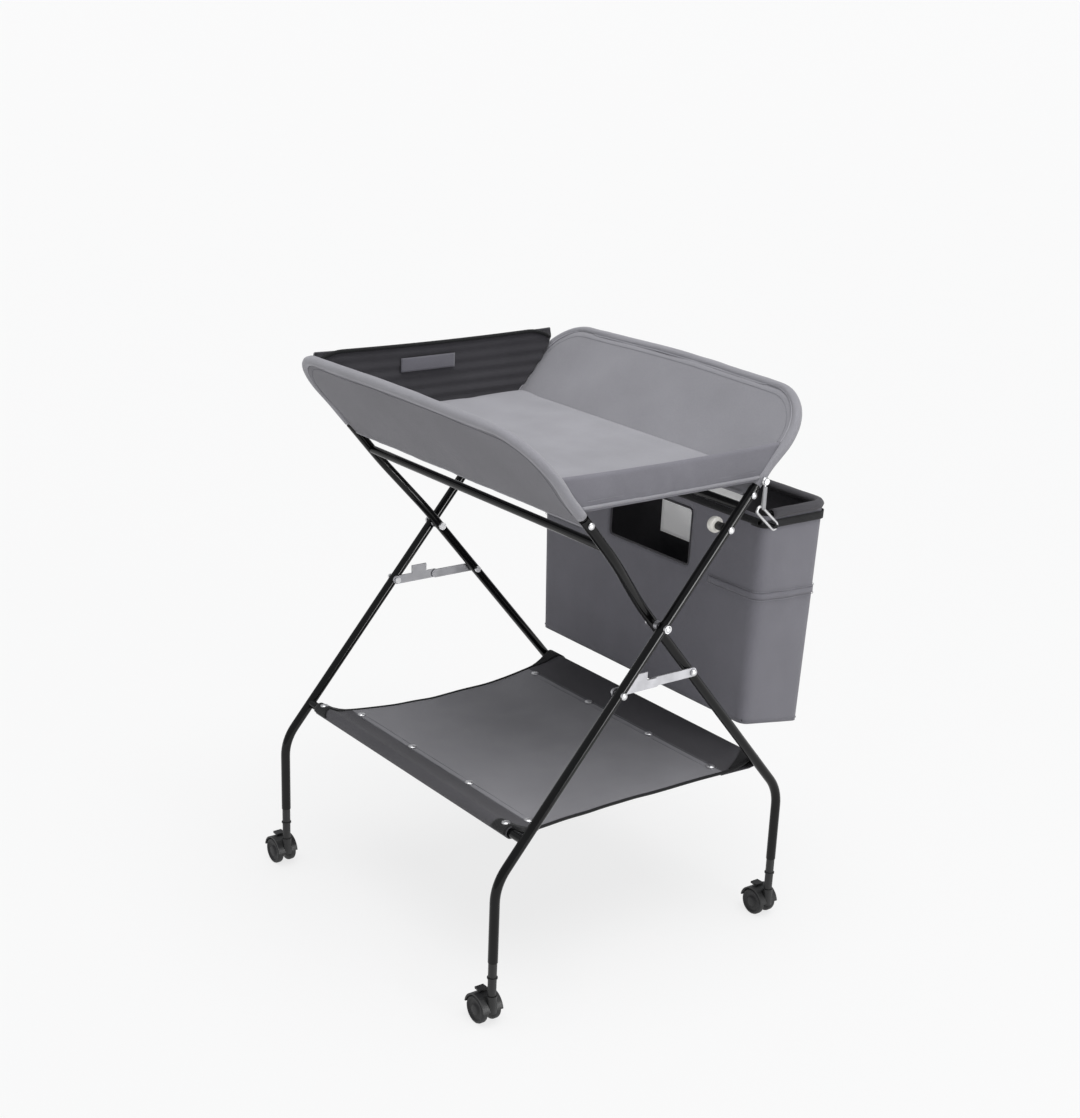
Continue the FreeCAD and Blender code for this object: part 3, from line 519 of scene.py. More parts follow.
def lathe_piece(name, profile, centre, axis, finish, segments=40):
    """A turned piece: (distance along the axis, radius) pairs spun about the axis."""
    spin = Vector((0, 0, 1)).rotation_difference(Vector(axis)).to_matrix()
    points = []
    for height, radius in profile:
        for j in range(segments):
            angle = 2 * math.pi * j / segments
            local = Vector((radius * math.cos(angle), radius * math.sin(angle), height))
            points.append(Vector(centre) + spin @ local)
    faces = quads(len(profile), segments, closed=True) + end_faces(segments, len(points))
    return face_outwards(mesh_piece(name, points, faces, finish))


def ripple(point, scale, amount):
    """Smooth random unevenness of cloth at a place."""
    return noise.noise(point * scale) * amount


def seat(piece, body, slot, *replaced):
    """Hangs a finished piece on its body and hides the frame nodes that it stands for; the slot is not used.
    """
    if replaced:
        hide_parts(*replaced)
    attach(piece, body)
    return piece


def across_fold(piece, slot, reach, height, *replaced):
    """A piece of cloth between the two frames: hides the frame nodes that it stands for and bakes its place
    into its mesh; reach is not used.
    """
    if replaced:
        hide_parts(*replaced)
    -reach
    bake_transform(piece)
    return piece


# ---------------------------------------------------------------- repeated small things
def socket_name(tree, label):
    """The identifier of a tree's named input."""
    return next(item.identifier for item in tree.interface.items_tree
                if item.name == label and item.in_out == "INPUT")


def repeat_tree(name, inputs, build):
    """A node group with geometry in and out and named number inputs; build links its inside."""
    tree = bpy.data.node_groups.new(name, "GeometryNodeTree")
    tree.interface.new_socket("Geometry", in_out="INPUT", socket_type="NodeSocketGeometry")
    for label, default in inputs.items():
        socket = tree.interface.new_socket(label, in_out="INPUT", socket_type="NodeSocketFloat")
        socket.default_value = default
    tree.interface.new_socket("Geometry", in_out="OUTPUT", socket_type="NodeSocketGeometry")
    entry, leave = tree.nodes.new("NodeGroupInput"), tree.nodes.new("NodeGroupOutput")
    tree.links.new(build(tree, entry), leave.inputs["Geometry"])
    return tree


def closing(tree, geometry, finish):
    """Realize Instances and Set Material, the end of every repeat tree."""
    real = tree.nodes.new("GeometryNodeRealizeInstances")
    paint = tree.nodes.new("GeometryNodeSetMaterial")
    paint.inputs["Material"].default_value = finish_of(finish)
    tree.links.new(geometry, real.inputs["Geometry"])
    tree.links.new(real.outputs["Geometry"], paint.inputs["Geometry"])
    return paint.outputs["Geometry"]


def stitch_tree(finish):
    """Short thread lengths spaced along a line."""

    def build(tree, entry):
        line = tree.nodes.new("GeometryNodeMeshToCurve")
        spots = tree.nodes.new("GeometryNodeCurveToPoints")
        spots.mode = "LENGTH"
        thread = tree.nodes.new("GeometryNodeMeshCylinder")
        thread.inputs["Vertices"].default_value = 6
        bead = tree.nodes.new("GeometryNodeInstanceOnPoints")
        tree.links.new(entry.outputs["Geometry"], line.inputs["Mesh"])
        tree.links.new(line.outputs["Curve"], spots.inputs["Curve"])
        tree.links.new(entry.outputs["Pitch"], spots.inputs["Length"])
        tree.links.new(entry.outputs["Thread radius"], thread.inputs["Radius"])
        tree.links.new(entry.outputs["Stitch length"], thread.inputs["Depth"])
        tree.links.new(spots.outputs["Points"], bead.inputs["Points"])
        tree.links.new(spots.outputs["Rotation"], bead.inputs["Rotation"])
        tree.links.new(thread.outputs["Mesh"], bead.inputs["Instance"])
        return closing(tree, bead.outputs["Instances"], finish)

    return repeat_tree("stitches_" + finish, {"Pitch": 0.0046, "Thread radius": 0.00045,
                                              "Stitch length": 0.0032}, build)


def grown(name, points, edges, tree, inputs, facings=()):
    """Runs a repeat tree on bare points and lines, and keeps what it makes as a plain mesh."""
    mesh = bpy.data.meshes.new(name)
    mesh.from_pydata([tuple(p) for p in points], edges, [])
    if facings:
        attribute = mesh.attributes.new("facing", "FLOAT_VECTOR", "POINT")
        for item, facing in zip(attribute.data, facings):
            item.vector = Vector(facing).normalized()
    piece = linked(name, mesh)
    repeat = piece.modifiers.new("repeat", "NODES")
    repeat.node_group = tree
    for label, value in inputs.items():
        repeat[socket_name(tree, label)] = value
    return applied(piece)


def stitches(name, lines):
    """One piece with a row of stitches along each line of points."""
    points, edges = [], []
    for line in lines:
        first = len(points)
        points.extend(line)
        edges.extend((i, i + 1) for i in range(first, len(points) - 1))
    finish = "sewing_thread"
    tree = bpy.data.node_groups.get("stitches_" + finish) or stitch_tree(finish)
    return grown(name, points, edges, tree, {"Pitch": sizes().stitch_pitch})


def cap_tree(finish):
    """A round cap with a domed top on each point, pointing along the point's facing attribute."""

    def build(tree, entry):
        dome = tree.nodes.new("GeometryNodeMeshUVSphere")
        dome.inputs["Segments"].default_value = 24
        dome.inputs["Rings"].default_value = 12
        flat = tree.nodes.new("GeometryNodeTransform")
        squeeze = tree.nodes.new("ShaderNodeCombineXYZ")
        squeeze.inputs["X"].default_value = 1.0
        squeeze.inputs["Y"].default_value = 1.0
        base = tree.nodes.new("GeometryNodeMeshCylinder")
        base.inputs["Vertices"].default_value = 24
        rim = tree.nodes.new("ShaderNodeMath")
        rim.operation = "MULTIPLY"
        rim.inputs[1].default_value = 1.22
        both = tree.nodes.new("GeometryNodeJoinGeometry")
        facing = tree.nodes.new("GeometryNodeInputNamedAttribute")
        facing.data_type = "FLOAT_VECTOR"
        facing.inputs["Name"].default_value = "facing"
        turn = tree.nodes.new("FunctionNodeAlignRotationToVector")
        turn.axis = "Z"
        spots = tree.nodes.new("GeometryNodeInstanceOnPoints")
        links = (
            (entry.outputs["Radius"], dome.inputs["Radius"]),
            (entry.outputs["Dome"], squeeze.inputs["Z"]),
            (dome.outputs["Mesh"], flat.inputs["Geometry"]),
            (squeeze.outputs["Vector"], flat.inputs["Scale"]),
            (entry.outputs["Radius"], rim.inputs[0]),
            (rim.outputs["Value"], base.inputs["Radius"]),
            (entry.outputs["Rim depth"], base.inputs["Depth"]),
            (base.outputs["Mesh"], both.inputs["Geometry"]),
            (flat.outputs["Geometry"], both.inputs["Geometry"]),
            (facing.outputs["Attribute"], turn.inputs["Vector"]),
            (entry.outputs["Geometry"], spots.inputs["Points"]),
            (both.outputs["Geometry"], spots.inputs["Instance"]),
            (turn.outputs["Rotation"], spots.inputs["Rotation"]),
        )
        for source, target in links:
            tree.links.new(source, target)
        return closing(tree, spots.outputs["Instances"], finish)

    return repeat_tree("caps_" + finish, {"Radius": 0.004, "Dome": 0.5, "Rim depth": 0.001}, build)


def caps(name, spots, radius, dome, rim_depth):
    """Domed steel heads at (point, direction) spots, as one piece."""
    finish = "bright_steel"
    tree = bpy.data.node_groups.get("caps_" + finish) or cap_tree(finish)
    points, facings = zip(*spots)
    heads = grown(name, points, [], tree, {"Radius": radius, "Dome": dome, "Rim depth": rim_depth}, facings)
    heads.data.polygons.foreach_set("use_smooth", [True] * len(heads.data.polygons))
    return heads


# ---------------------------------------------------------------- places read from the frame
@functools.lru_cache(maxsize=None)
def fold_facts():
    """Pivot height, lean of the legs and rise of the pivot, from the frame's own boxes."""
    pivot = JOINTS["frame_fold"]["pos_m"][2]
    top = box("outer_hoop")[1]
    radius = sizes().hoop_radius
    lean = math.atan2(top[1] - radius, top[2] - radius - pivot)
    reach = math.hypot(top[1] - radius, top[2] - radius - pivot)
    return pivot, lean, reach - sizes().rim_rise - sizes().crown


def on_leg(side, rise, x=0.0, lift=0.0):
    """A point on a frame's leg plane; lift moves it towards the outside of the tray."""
    pivot, lean, pivot_rise = fold_facts()
    reach = rise + pivot_rise
    y = side * (reach * math.sin(lean) + lift * math.cos(lean))
    return Vector((x, y, pivot + reach * math.cos(lean) - lift * math.sin(lean)))


def hoop_path(side, start_rise, step=0.008):
    """The hoop's middle line from the left leg over the rim to the right leg."""
    s = sizes()
    leg_x = box(f"{FRAME_WORD[side]}_leg_right")[1][0] - LEG_RADIUS
    rim_x = leg_x + s.widening
    left = [Vector((-leg_x, 0, start_rise)), Vector((-leg_x, 0, s.flare_rise)),
            Vector((-rim_x, 0, s.rim_rise))]
    right = [Vector((-p.x, 0, p.z)) for p in reversed(left)]
    radius, crown_radius = s.corner_radius, 3.0
    return rounded_path(left + [Vector((0, 0, s.rim_rise + s.crown))] + right,
                        [radius, radius, crown_radius, radius, radius], step)


# ---------------------------------------------------------------- tray walls
def resample(line, count):
    """The line again, as evenly spaced points."""
    lengths = [0.0]
    for a, b in zip(line, line[1:]):
        lengths.append(lengths[-1] + (b - a).length)
    result, index = [], 0
    for i in range(count):
        target = lengths[-1] * i / (count - 1)
        while index < len(line) - 2 and lengths[index + 1] < target:
            index += 1
        span = lengths[index + 1] - lengths[index]
        result.append(line[index].lerp(line[index + 1], (target - lengths[index]) / span if span else 0.0))
    return result


def wall_grid(side, across=72, rows=18, tuck=0.004):
    """Points of a wall panel in its leg plane: its edges follow the hoop and the straight lower seam."""
    s = sizes()
    path = hoop_path(side, -s.wall_drop)
    corner = next(i for i, p in enumerate(path) if p.z > s.rim_rise - 0.030)
    left = [Vector((p.x + tuck, 0, p.z)) for p in path[:corner + 1]]
    right = [Vector((p.x - tuck, 0, p.z)) for p in reversed(path[len(path) - corner - 1:])]
    top = [Vector((p.x, 0, p.z - tuck)) for p in path[corner:len(path) - corner]]
    top[0], top[-1] = left[-1], right[-1]
    bottom = resample([left[0], right[0]], across)
    left, right, top = resample(left, rows), resample(right, rows), resample(top, across)
    grid = []
    for i in range(rows):
        v = i / (rows - 1)
        row = []
        for j in range(across):
            u = j / (across - 1)
            edge = bottom[j].lerp(top[j], v) + left[i].lerp(right[i], u)
            corners = (bottom[0].lerp(bottom[-1], u)).lerp(top[0].lerp(top[-1], u), v)
            row.append(edge - corners)
        grid.append(row)
    return grid


def wall_point(side, p, lift=0.0):
    """A point of a wall's cloth, swelled and puckered; lift moves it towards the outside of the tray."""
    s = sizes()
    share = min(1.0, max(0.0, (p.z + s.wall_drop) / (s.rim_rise + s.wall_drop)))
    swell = math.sin(math.pi * share) * 0.0022
    puckers = ripple(Vector((p.x, side * 3.0, p.z * 0.6)), 14.0, 0.0012)
    pulls = ripple(Vector((p.x * 2.4, side * 7.0, p.z * 0.5)), 22.0, 0.0006) * (1.0 - share)
    flush = -0.0042 if side == OUTER else 0.0022
    return on_leg(side, p.z, p.x, lift + flush + swell + puckers + pulls)


def rim_seam(side, inset, lift):
    """A seam on the wall's cloth, a little inside the rim."""
    rim_rise = sizes().rim_rise
    centre = Vector((0, 0, rim_rise * 0.4))
    seam = []
    for p in hoop_path(side, 0.012, 0.012):
        inward = Vector((-math.copysign(min(1.0, abs(p.x) / 0.30) ** 6, p.x), 0,
                         -max(0.0, min(1.0, (p.z - rim_rise * 0.62) / 0.05))))
        if inward.length < 0.2:
            inward = centre - p
        seam.append(wall_point(side, p + inward.normalized() * inset, lift))
    return seam


def rim_welt(side, angle):
    """The line where the rim's sleeve meets the wall, at an angle round the sleeve."""
    s = sizes()
    reach = s.sleeve_radius + 0.0004
    lift, inset = reach * math.sin(angle), reach * math.cos(angle)
    welt = []
    for p in hoop_path(side, 0.014):
        if p.z < s.rim_rise * 0.55:
            inward = Vector((-math.copysign(1, p.x), 0, 0))
        elif abs(p.x) < 0.22:
            inward = Vector((0, 0, -1))
        else:
            inward = Vector((-p.x, 0, s.rim_rise * 0.35 - p.z)).normalized()
        welt.append(on_leg(side, p.z + inward.z * inset, p.x + inward.x * inset, lift))
    eased = [(a + b * 2 + c) / 4 for a, b, c in zip(welt, welt[1:], welt[2:])]
    return [welt[0]] + eased + [welt[-1]]


def tray_wall(side, word, slot):
    """Wall panel, sleeve round the hoop, rim seams, welts and lower piping of one long side."""
    s = sizes()
    body, hoop = FRAME_BODY[side], f"{FRAME_WORD[side]}_hoop"
    # Each wall's outside face takes the darker cloth. This is painted shade on the faces that look down.
    near, reverse = ("tray_cloth", "wall_cloth_painted_shade") if side == OUTER else ("wall_cloth_painted_shade", "tray_cloth")
    grid = wall_grid(side)
    half, height = grid[0][-1].x, s.rim_rise + s.wall_drop + s.crown
    rows = [[wall_point(side, p) for p in row] for row in grid]
    wall = grid_piece(f"{word}_wall_cloth_painted_shade", rows, near, s.wall_thickness)
    wall.data.materials.append(finish_of(reverse))
    wall.modifiers["thickness"].material_offset = 1
    seat(wall, body, slot, f"{word}_wall")

    path = [on_leg(side, p.z, p.x) for p in hoop_path(side, 0.006)]
    normal = (on_leg(side, 0, 0, 1.0) - on_leg(side, 0, 0)).normalized()

    def creased(index, angle):
        """Radius of the sleeve, with small creases."""
        return s.sleeve_radius + ripple(path[index] + Vector((0, 0, angle)), 26.0, 0.0007)

    sleeve = tube_piece(f"{word}_rim_cloth", path, creased, "tray_cloth", 22, normal, capped=False)
    rolled(sleeve, path, s.sleeve_radius, hoop)
    seat(sleeve, body, slot, f"{word}_rim_sleeve")

    surface = s.wall_thickness / 2
    seams = [rim_seam(side, 0.0155, surface + 0.0004), rim_seam(side, 0.0150, -surface - 0.0002)]
    seat(stitches(f"{word}_rim_stitches", seams), body, slot)
    for label, angle in (("outside", 0.744), ("inside", -0.744)):
        welt = tube_piece(f"{word}_welt_{label}", rim_welt(side, angle), 0.0011, "welt", 8, normal)
        seat(welt, body, slot)
    hem = [wall_point(side, Vector((x / 100 * (half - 0.004), 0, -s.wall_drop))) for x in range(-100, 101, 2)]
    seat(tube_piece(f"{word}_hem_piping", hem, 0.0030, "tray_cloth", 10, normal), body, slot)


class TABLE_OT_tray_walls(bpy.types.Operator):
    """Makes the two long walls of the tray with their rims, seams and piping"""

    bl_idname = "changing_table.tray_walls"
    bl_label = "Tray walls"

    def execute(self, context):
        tray_wall(OUTER, "back", "grey_fabric")
        tray_wall(INNER, "front", "grey_fabric")
        return {"FINISHED"}


# ---------------------------------------------------------------- tray floor, pad and ends
def wall_reach(height):
    """How far from the middle the wall planes stand at a height."""
    pivot, lean, _ = fold_facts()
    return (height - pivot) * math.tan(lean)


def tray_floor():
    """The cloth floor between the walls and the ends, sagging a little."""
    high = box("tray_floor")[1]
    reach, half = wall_reach(high[2]), high[0] + 0.004
    edge = reach - 0.0035

    def place(u, v):
        """A point of the floor."""
        sag = 0.004 * math.sin(math.pi * u) * math.sin(math.pi * v)
        return Vector((half * (2 * u - 1), edge * (2 * v - 1), high[2] - 0.0015 - sag))

    floor = grid_piece("tray_floor_cloth", lattice(60, 40, place), "tray_cloth", 0.0024)
    2 * half
    2 * reach
    across_fold(floor, "grey_fabric", reach, high[2], "tray_floor")


def changing_pad():
    """A foam pad whose cover is puffed by cloth pressure between its sewn edges."""
    low, high = box("changing_pad")
    columns, lanes = 64, 40
    points, faces = [], []

    def layer(z, way):
        """One face of the pad, drawn towards the other near its sewn edge."""
        half = wall_reach(z) - 0.006
        for i in range(lanes + 1):
            for j in range(columns + 1):
                u, v = 2 * j / columns - 1, 2 * i / lanes - 1
                edge = max(abs(u), abs(v))
                pinch = way * 0.004 * max(0.0, (edge - 0.94) / 0.06) ** 2
                points.append(Vector(((high[0] - 0.004) * u, half * v, z + pinch)))

    layer(low[2] + 0.001, 1)
    layer(high[2] - 0.003, -1)
    stride, offset = columns + 1, (columns + 1) * (lanes + 1)
    for i in range(lanes):
        for j in range(columns):
            a = i * stride + j
            faces.append((a, a + stride, a + stride + 1, a + 1))
            faces.append((offset + a, offset + a + 1, offset + a + stride + 1, offset + a + stride))
    ring = list(range(columns)) + [i * stride + columns for i in range(lanes)]
    ring += [lanes * stride + columns - j for j in range(columns)]
    ring += [(lanes - i) * stride for i in range(lanes)]
    for a, b in zip(ring, ring[1:] + ring[:1]):
        faces.append((a, b, b + offset, a + offset))
    pad = face_outwards(mesh_piece("changing_pad_cushion", points, faces, "pad_cloth"))
    puff(pad, sizes().pad_swell)
    for point in pad.data.vertices:
        limit = wall_reach(point.co.z) - 0.0032
        point.co.y = max(-limit, min(limit, point.co.y))
        point.co.z = min(point.co.z, high[2] + 0.004)
    across_fold(pad, "pad_cover", wall_reach(high[2]), high[2], "changing_pad")


def puff(piece, cap, voxel=0.006, pressure=4.0, frames=20):
    """Swells a closed piece with cloth pressure, and caps how far any point moves."""
    scene = bpy.context.scene
    remesh = piece.modifiers.new("even_mesh", "REMESH")
    remesh.mode = "VOXEL"
    remesh.voxel_size = voxel
    applied(piece)
    rest = [point.co.copy() for point in piece.data.vertices]
    cloth = piece.modifiers.new("swell", "CLOTH")
    cloth.settings.use_pressure = True
    cloth.settings.uniform_pressure_force = pressure
    cloth.settings.effector_weights.gravity = 0.0
    scene.frame_start, scene.frame_end = 1, frames
    for number in range(1, frames + 1):
        scene.frame_set(number)
    applied(piece)
    scene.frame_set(1)
    for point, start in zip(piece.data.vertices, rest):
        move = point.co - start
        if move.length > cap:
            point.co = start + move * (cap / move.length)
    piece.modifiers.new("smooth", "SMOOTH").iterations = 3
    applied(piece)
    piece.data.materials.clear()
    piece.data.materials.append(finish_of("pad_cloth"))
    piece.data.polygons.foreach_set("use_smooth", [True] * len(piece.data.polygons))


def end_section(x_outer, facing, bottom, top, thick):
    """The fold of a tray end: up its outer face, over a round edge and down its inner face."""
    steps, edge_steps = 26, 9
    inner, shoulder = x_outer - facing * thick, top - thick / 2
    rise = shoulder - bottom
    section = [(x_outer, bottom + rise * (i / steps)) for i in range(steps + 1)]
    for i in range(1, edge_steps):
        angle = math.pi * i / edge_steps
        section.append(((x_outer + inner) / 2 + facing * thick / 2 * math.cos(angle),
                        shoulder + thick / 2 * math.sin(angle)))
    return section + [(inner, shoulder - rise * (i / steps)) for i in range(steps + 1)]


def end_strip(name, x_outer, facing, bottom, top, thick, finish, slot, node, ribs=0, lean_in=0.0):
    """A standing end of the tray, a padded fold of cloth from wall to wall; a ribbed one has cut corners."""
    count, corner_height, corner_cut = 56, 0.055, 0.030
    section = end_section(x_outer, facing, bottom, top, thick)
    points, maps = [], []
    run = 0.0
    for k, (x, z) in enumerate(section):
        run += math.dist(section[k - 1], section[k]) if k else 0.0
        height = (z - bottom) / (top - bottom)
        corner = max(0.0, (z - (top - corner_height)) / corner_height) if ribs else 0.0
        half = wall_reach(z) - 0.0065 - corner_cut * corner ** 2
        rib = 0.0012 * math.sin(2 * math.pi * ribs * height) if ribs else 0.0
        for j in range(count + 1):
            v = 2 * j / count - 1
            bow = (1 - v * v) * 0.0035 * math.sin(math.pi * min(1.0, height * 1.05))
            wave = ripple(Vector((x * 3, v * 0.4, z)), 30.0, 0.0009)
            dip = 0.0035 * (1 - v * v) * height
            points.append(Vector((x + facing * (bow + wave) - facing * rib - lean_in * height * facing,
                                  half * v, z - dip)))
            maps.append((half * v, run))
    stride = count + 1
    faces = quads(len(section), stride)
    last = (len(section) - 1) * stride
    faces += [(j + 1, j, last + j, last + j + 1) for j in range(count)]
    faces += [tuple(k * stride + j for k in range(len(section))) for j in (0, count)]
    piece = face_outwards(mesh_piece(name, points, faces, finish, maps))
    across_fold(piece, slot, wall_reach(top), top, node)
    return piece


def edge_line(x, z, half, dip=0.0035, count=60):
    """A line across the tray from wall to wall, dipping in the middle."""
    shares = [2 * j / count - 1 for j in range(count + 1)]
    return [Vector((x, half * v, z - dip * (1 - v ** 2))) for v in shares]


def low_end():
    """The low padded end of the tray, with piping and a seam along its foot."""
    low, high = box("low_end_panel")
    bottom, top, x = low[2], high[2], high[0] + 0.004
    reach = wall_reach(top)
    # Painted shade: the low end takes the darker hamper cloth so that its lit outer face looks dim.
    end = end_strip("low_end_cloth", x, RIGHT, bottom, top, 0.010, "hamper_cloth", "grey_fabric",
                    "low_end_panel")
    foot = edge_line(x + 0.0005, bottom + 0.006, wall_reach(bottom) - 0.004, 0.0)
    across_fold(tube_piece("low_end_piping", foot, 0.0028, "tray_cloth", 10), "grey_fabric", reach, top)
    seam = [p + Vector((0.0013, 0, 0.010)) for p in foot[2:-2]]
    across_fold(stitches("low_end_stitches", [seam]), "grey_fabric", reach, top)


def high_end():
    """The high dark end of the tray, ribbed across and bound along its top edge."""
    bottom = box("low_end_panel")[0][2]
    low, high = box("high_end_panel")
    top, x = high[2], low[0] - 0.001
    reach = wall_reach(top)
    end = end_strip("high_end_cloth", x, LEFT, bottom, top, 0.006, "lining_cloth", "charcoal_fabric",
                    "high_end_panel", ribs=6, lean_in=0.004)
    line = edge_line(x + 0.011, top - 0.001, reach - 0.038)
    for p in line:
        near = max(0.0, abs(p.y) - (reach - 0.088)) / 0.050
        p.z -= 0.015 * near ** 2
    tape = tube_piece("high_end_binding", line, 0.0034, "binding_tape", 12)
    across_fold(tape, "charcoal_fabric", reach, top)


def end_label():
    """A plain sewn label on the inside of the high end."""
    low, high = box("end_label")
    width, height = high[1] - low[1], high[2] - low[2]

    def place(u, v):
        """A point of the label, which curls a little in its middle."""
        curl = 0.0008 * math.sin(math.pi * u) * math.sin(math.pi * v)
        return Vector((high[0] + 0.0036 + curl, low[1] + width * u, low[2] + height * v))

    label = grid_piece("end_label_cloth", lattice(24, 8, place), "hamper_cloth", 0.0014)
    across_fold(label, "grey_fabric", wall_reach(high[2]), high[2], "end_label")


class TABLE_OT_tray_bed(bpy.types.Operator):
    """Makes the tray floor, the padded mat and the two ends of the tray"""

    bl_idname = "changing_table.tray_bed"
    bl_label = "Tray bed"

    def execute(self, context):
        tray_floor()
        changing_pad()
        low_end()
        high_end()
        end_label()
        return {"FINISHED"}


# ---------------------------------------------------------------- shelf
def shelf_facts():
    """Half the distance between the shelf bars, their height and their radius."""
    low, high = box("outer_shelf_bar")
    y, z = middle("outer_shelf_bar")
    return -y, z, (high[2] - low[2]) / 2


def sling_height(y, drop=0.0):
    """Height of the shelf's cloth at a depth; drop is how far another layer hangs below it."""
    half, bar_z, radius = shelf_facts()
    return bar_z - radius - drop - sizes().sling_sag * (1 - (y / half) ** 2)


def sling_reach(y):
    """Half the shelf's width at a depth; its free edges curve in between the bars."""
    half = shelf_facts()[0]
    return box("shelf_sling")[1][0] - EDGE_CURVE * (1 - (y / half) ** 2 if abs(y) < half else 0.0)


def sling_section():
    """The sling from its lower flap round the front bar, over the shelf and round the back bar."""
    half, bar_z, radius = shelf_facts()
    flap, wrap = 0.061, radius + 0.0024
    flap_steps, wrap_steps, span_steps = 8, 14, 40
    section = []
    for i in range(flap_steps):
        y = -half + flap * (1 - i / flap_steps)
        section.append((y, sling_height(y, 0.0042)))
    for i in range(wrap_steps + 1):
        angle = math.radians(-95 - 185 * i / wrap_steps)
        section.append((-half + wrap * math.cos(angle), bar_z + wrap * math.sin(angle)))
    sleeve = section[:]
    for i in range(1, span_steps):
        y = -half + wrap + (2 * half - 2 * wrap) * i / span_steps
        ease = min(1.0, (half - abs(y)) / 0.05)
        slope = bar_z + wrap - (half - abs(y)) * 0.35
        section.append((y, sling_height(y) * ease + slope * (1 - ease)))
    return section + [(-y, z) for y, z in reversed(sleeve)]


def shelf_sling():
    """The sling with its dark hems, edge bindings, seams and corner patches."""
    half = shelf_facts()[0]
    section = sling_section()
    rows = []
    for y, z in section:
        row = []
        for j in range(SLING_COLUMNS + 1):
            u = 2 * j / SLING_COLUMNS - 1
            pull = ripple(Vector((u * 3.0, y * 8.0, 4.0)), 2.2, 0.0022) * max(0.0, 1 - abs(y) / half)
            curl = 0.003 * abs(u) ** 8 * max(0.0, 1 - (y / half) ** 2)
            row.append(Vector((sling_reach(y) * u, y, z + pull + curl)))
        rows.append(row)
    sling = grid_piece("shelf_sling_cloth", rows, "shelf_cloth", 0.0020)
    sling.data.materials.append(finish_of("hem_cloth"))
    for face in sling.data.polygons:
        face.material_index = int(abs(face.center.y) > 0.1925)
    length = sum(math.dist(a, b) for a, b in zip(section, section[1:]))
    across_fold_shelf(sling, "dark_grey_fabric", "shelf_sling")
    for word, side, column in (("left", LEFT, 0), ("right", RIGHT, -1)):
        line = [row[column] + Vector((side * 0.0008, 0, 0)) for row in rows[22:-22]]
        tape = tube_piece(f"shelf_{word}_binding", line, 0.0027, "binding_tape", 10)
        across_fold_shelf(tape, "dark_grey_fabric")
    seams = []
    for y in (-0.196, -0.184, 0.184, 0.196):
        reach = sling_reach(y) - 0.006
        seams.append([Vector((reach * (j / 30 - 1), y, sling_height(y) + 0.0015)) for j in range(61)])
    across_fold_shelf(stitches("shelf_stitches", seams), "dark_grey_fabric")
    corner_patches(rows)


def corner_patches(rows):
    """Black reinforcing patches at the four corners of the shelf, laid on the cloth's own rows."""
    last, first_row, end_row, points = len(rows) - 1, 14, 26, 8
    sides = {"front": range(first_row, end_row), "back": range(last - first_row, last - end_row, -1)}
    for word_y, lines in sides.items():
        runs = [(rows[b][0] - rows[a][0]).length for a, b in zip(lines, lines[1:])]
        length = sum(runs)
        for word_x, side in (("left", LEFT), ("right", RIGHT)):
            patch_rows = []
            for i, k in enumerate(lines):
                width = 4.6 * (1 - sum(runs[:i]) / length) + 0.3
                line = []
                for j in range(points + 1):
                    column = int(width * j / points)
                    a, b = (column, column + 1)
                    if side == RIGHT:
                        a, b = SLING_COLUMNS - a, SLING_COLUMNS - b
                    point = rows[k][a].lerp(rows[k][b], width * j / points - column)
                    over = Vector((1, 0, 0)).cross(rows[k + 1][a] - rows[k - 1][a]).normalized()
                    line.append(point + over * 0.0024)
                patch_rows.append(line)
            patch = grid_piece(f"shelf_patch_{word_y}_{word_x}", patch_rows, "binding_tape", 0.0012)
            wide = (patch_rows[0][-1] - patch_rows[0][0]).length
            across_fold_shelf(patch, "dark_grey_fabric")


def across_fold_shelf(piece, slot, *replaced):
    """Cloth between the shelf bars, handed to across_fold with a reach near the front bar's depth."""
    half, height, _ = shelf_facts()
    return across_fold(piece, slot, -half + 0.012, height, *replaced)


def shelf_snaps():
    """Snap heads along both hems of the shelf, and a rivet at each end of the front sleeve."""
    half, bar_z, radius = shelf_facts()
    reach = box("shelf_sling")[1][0] - 0.014
    up = (0, 0, 1)
    for word in ("front", "back"):
        node = f"{word}_shelf_snaps"
        low, high = box(node)
        y = middle(node)[0]
        spots = [(Vector((x, y, sling_height(y) + 0.0026)), up)
                 for x in (low[0] + 0.005, -0.085, 0.085, high[0] - 0.005)]
        if word == "front":
            spots += [(Vector((side * reach, -half, bar_z + radius + 0.0042)), up) for side in (LEFT, RIGHT)]
        across_fold_shelf(caps(f"{word}_snap_heads", spots, 0.0056, 0.5, 0.0022), "bright_hardware", node)


class TABLE_OT_shelf(bpy.types.Operator):
    """Makes the sling shelf with its bindings, seams, corner patches and snaps"""

    bl_idname = "changing_table.shelf"
    bl_label = "Shelf"

    def execute(self, context):
        shelf_sling()
        shelf_snaps()
        return {"FINISHED"}


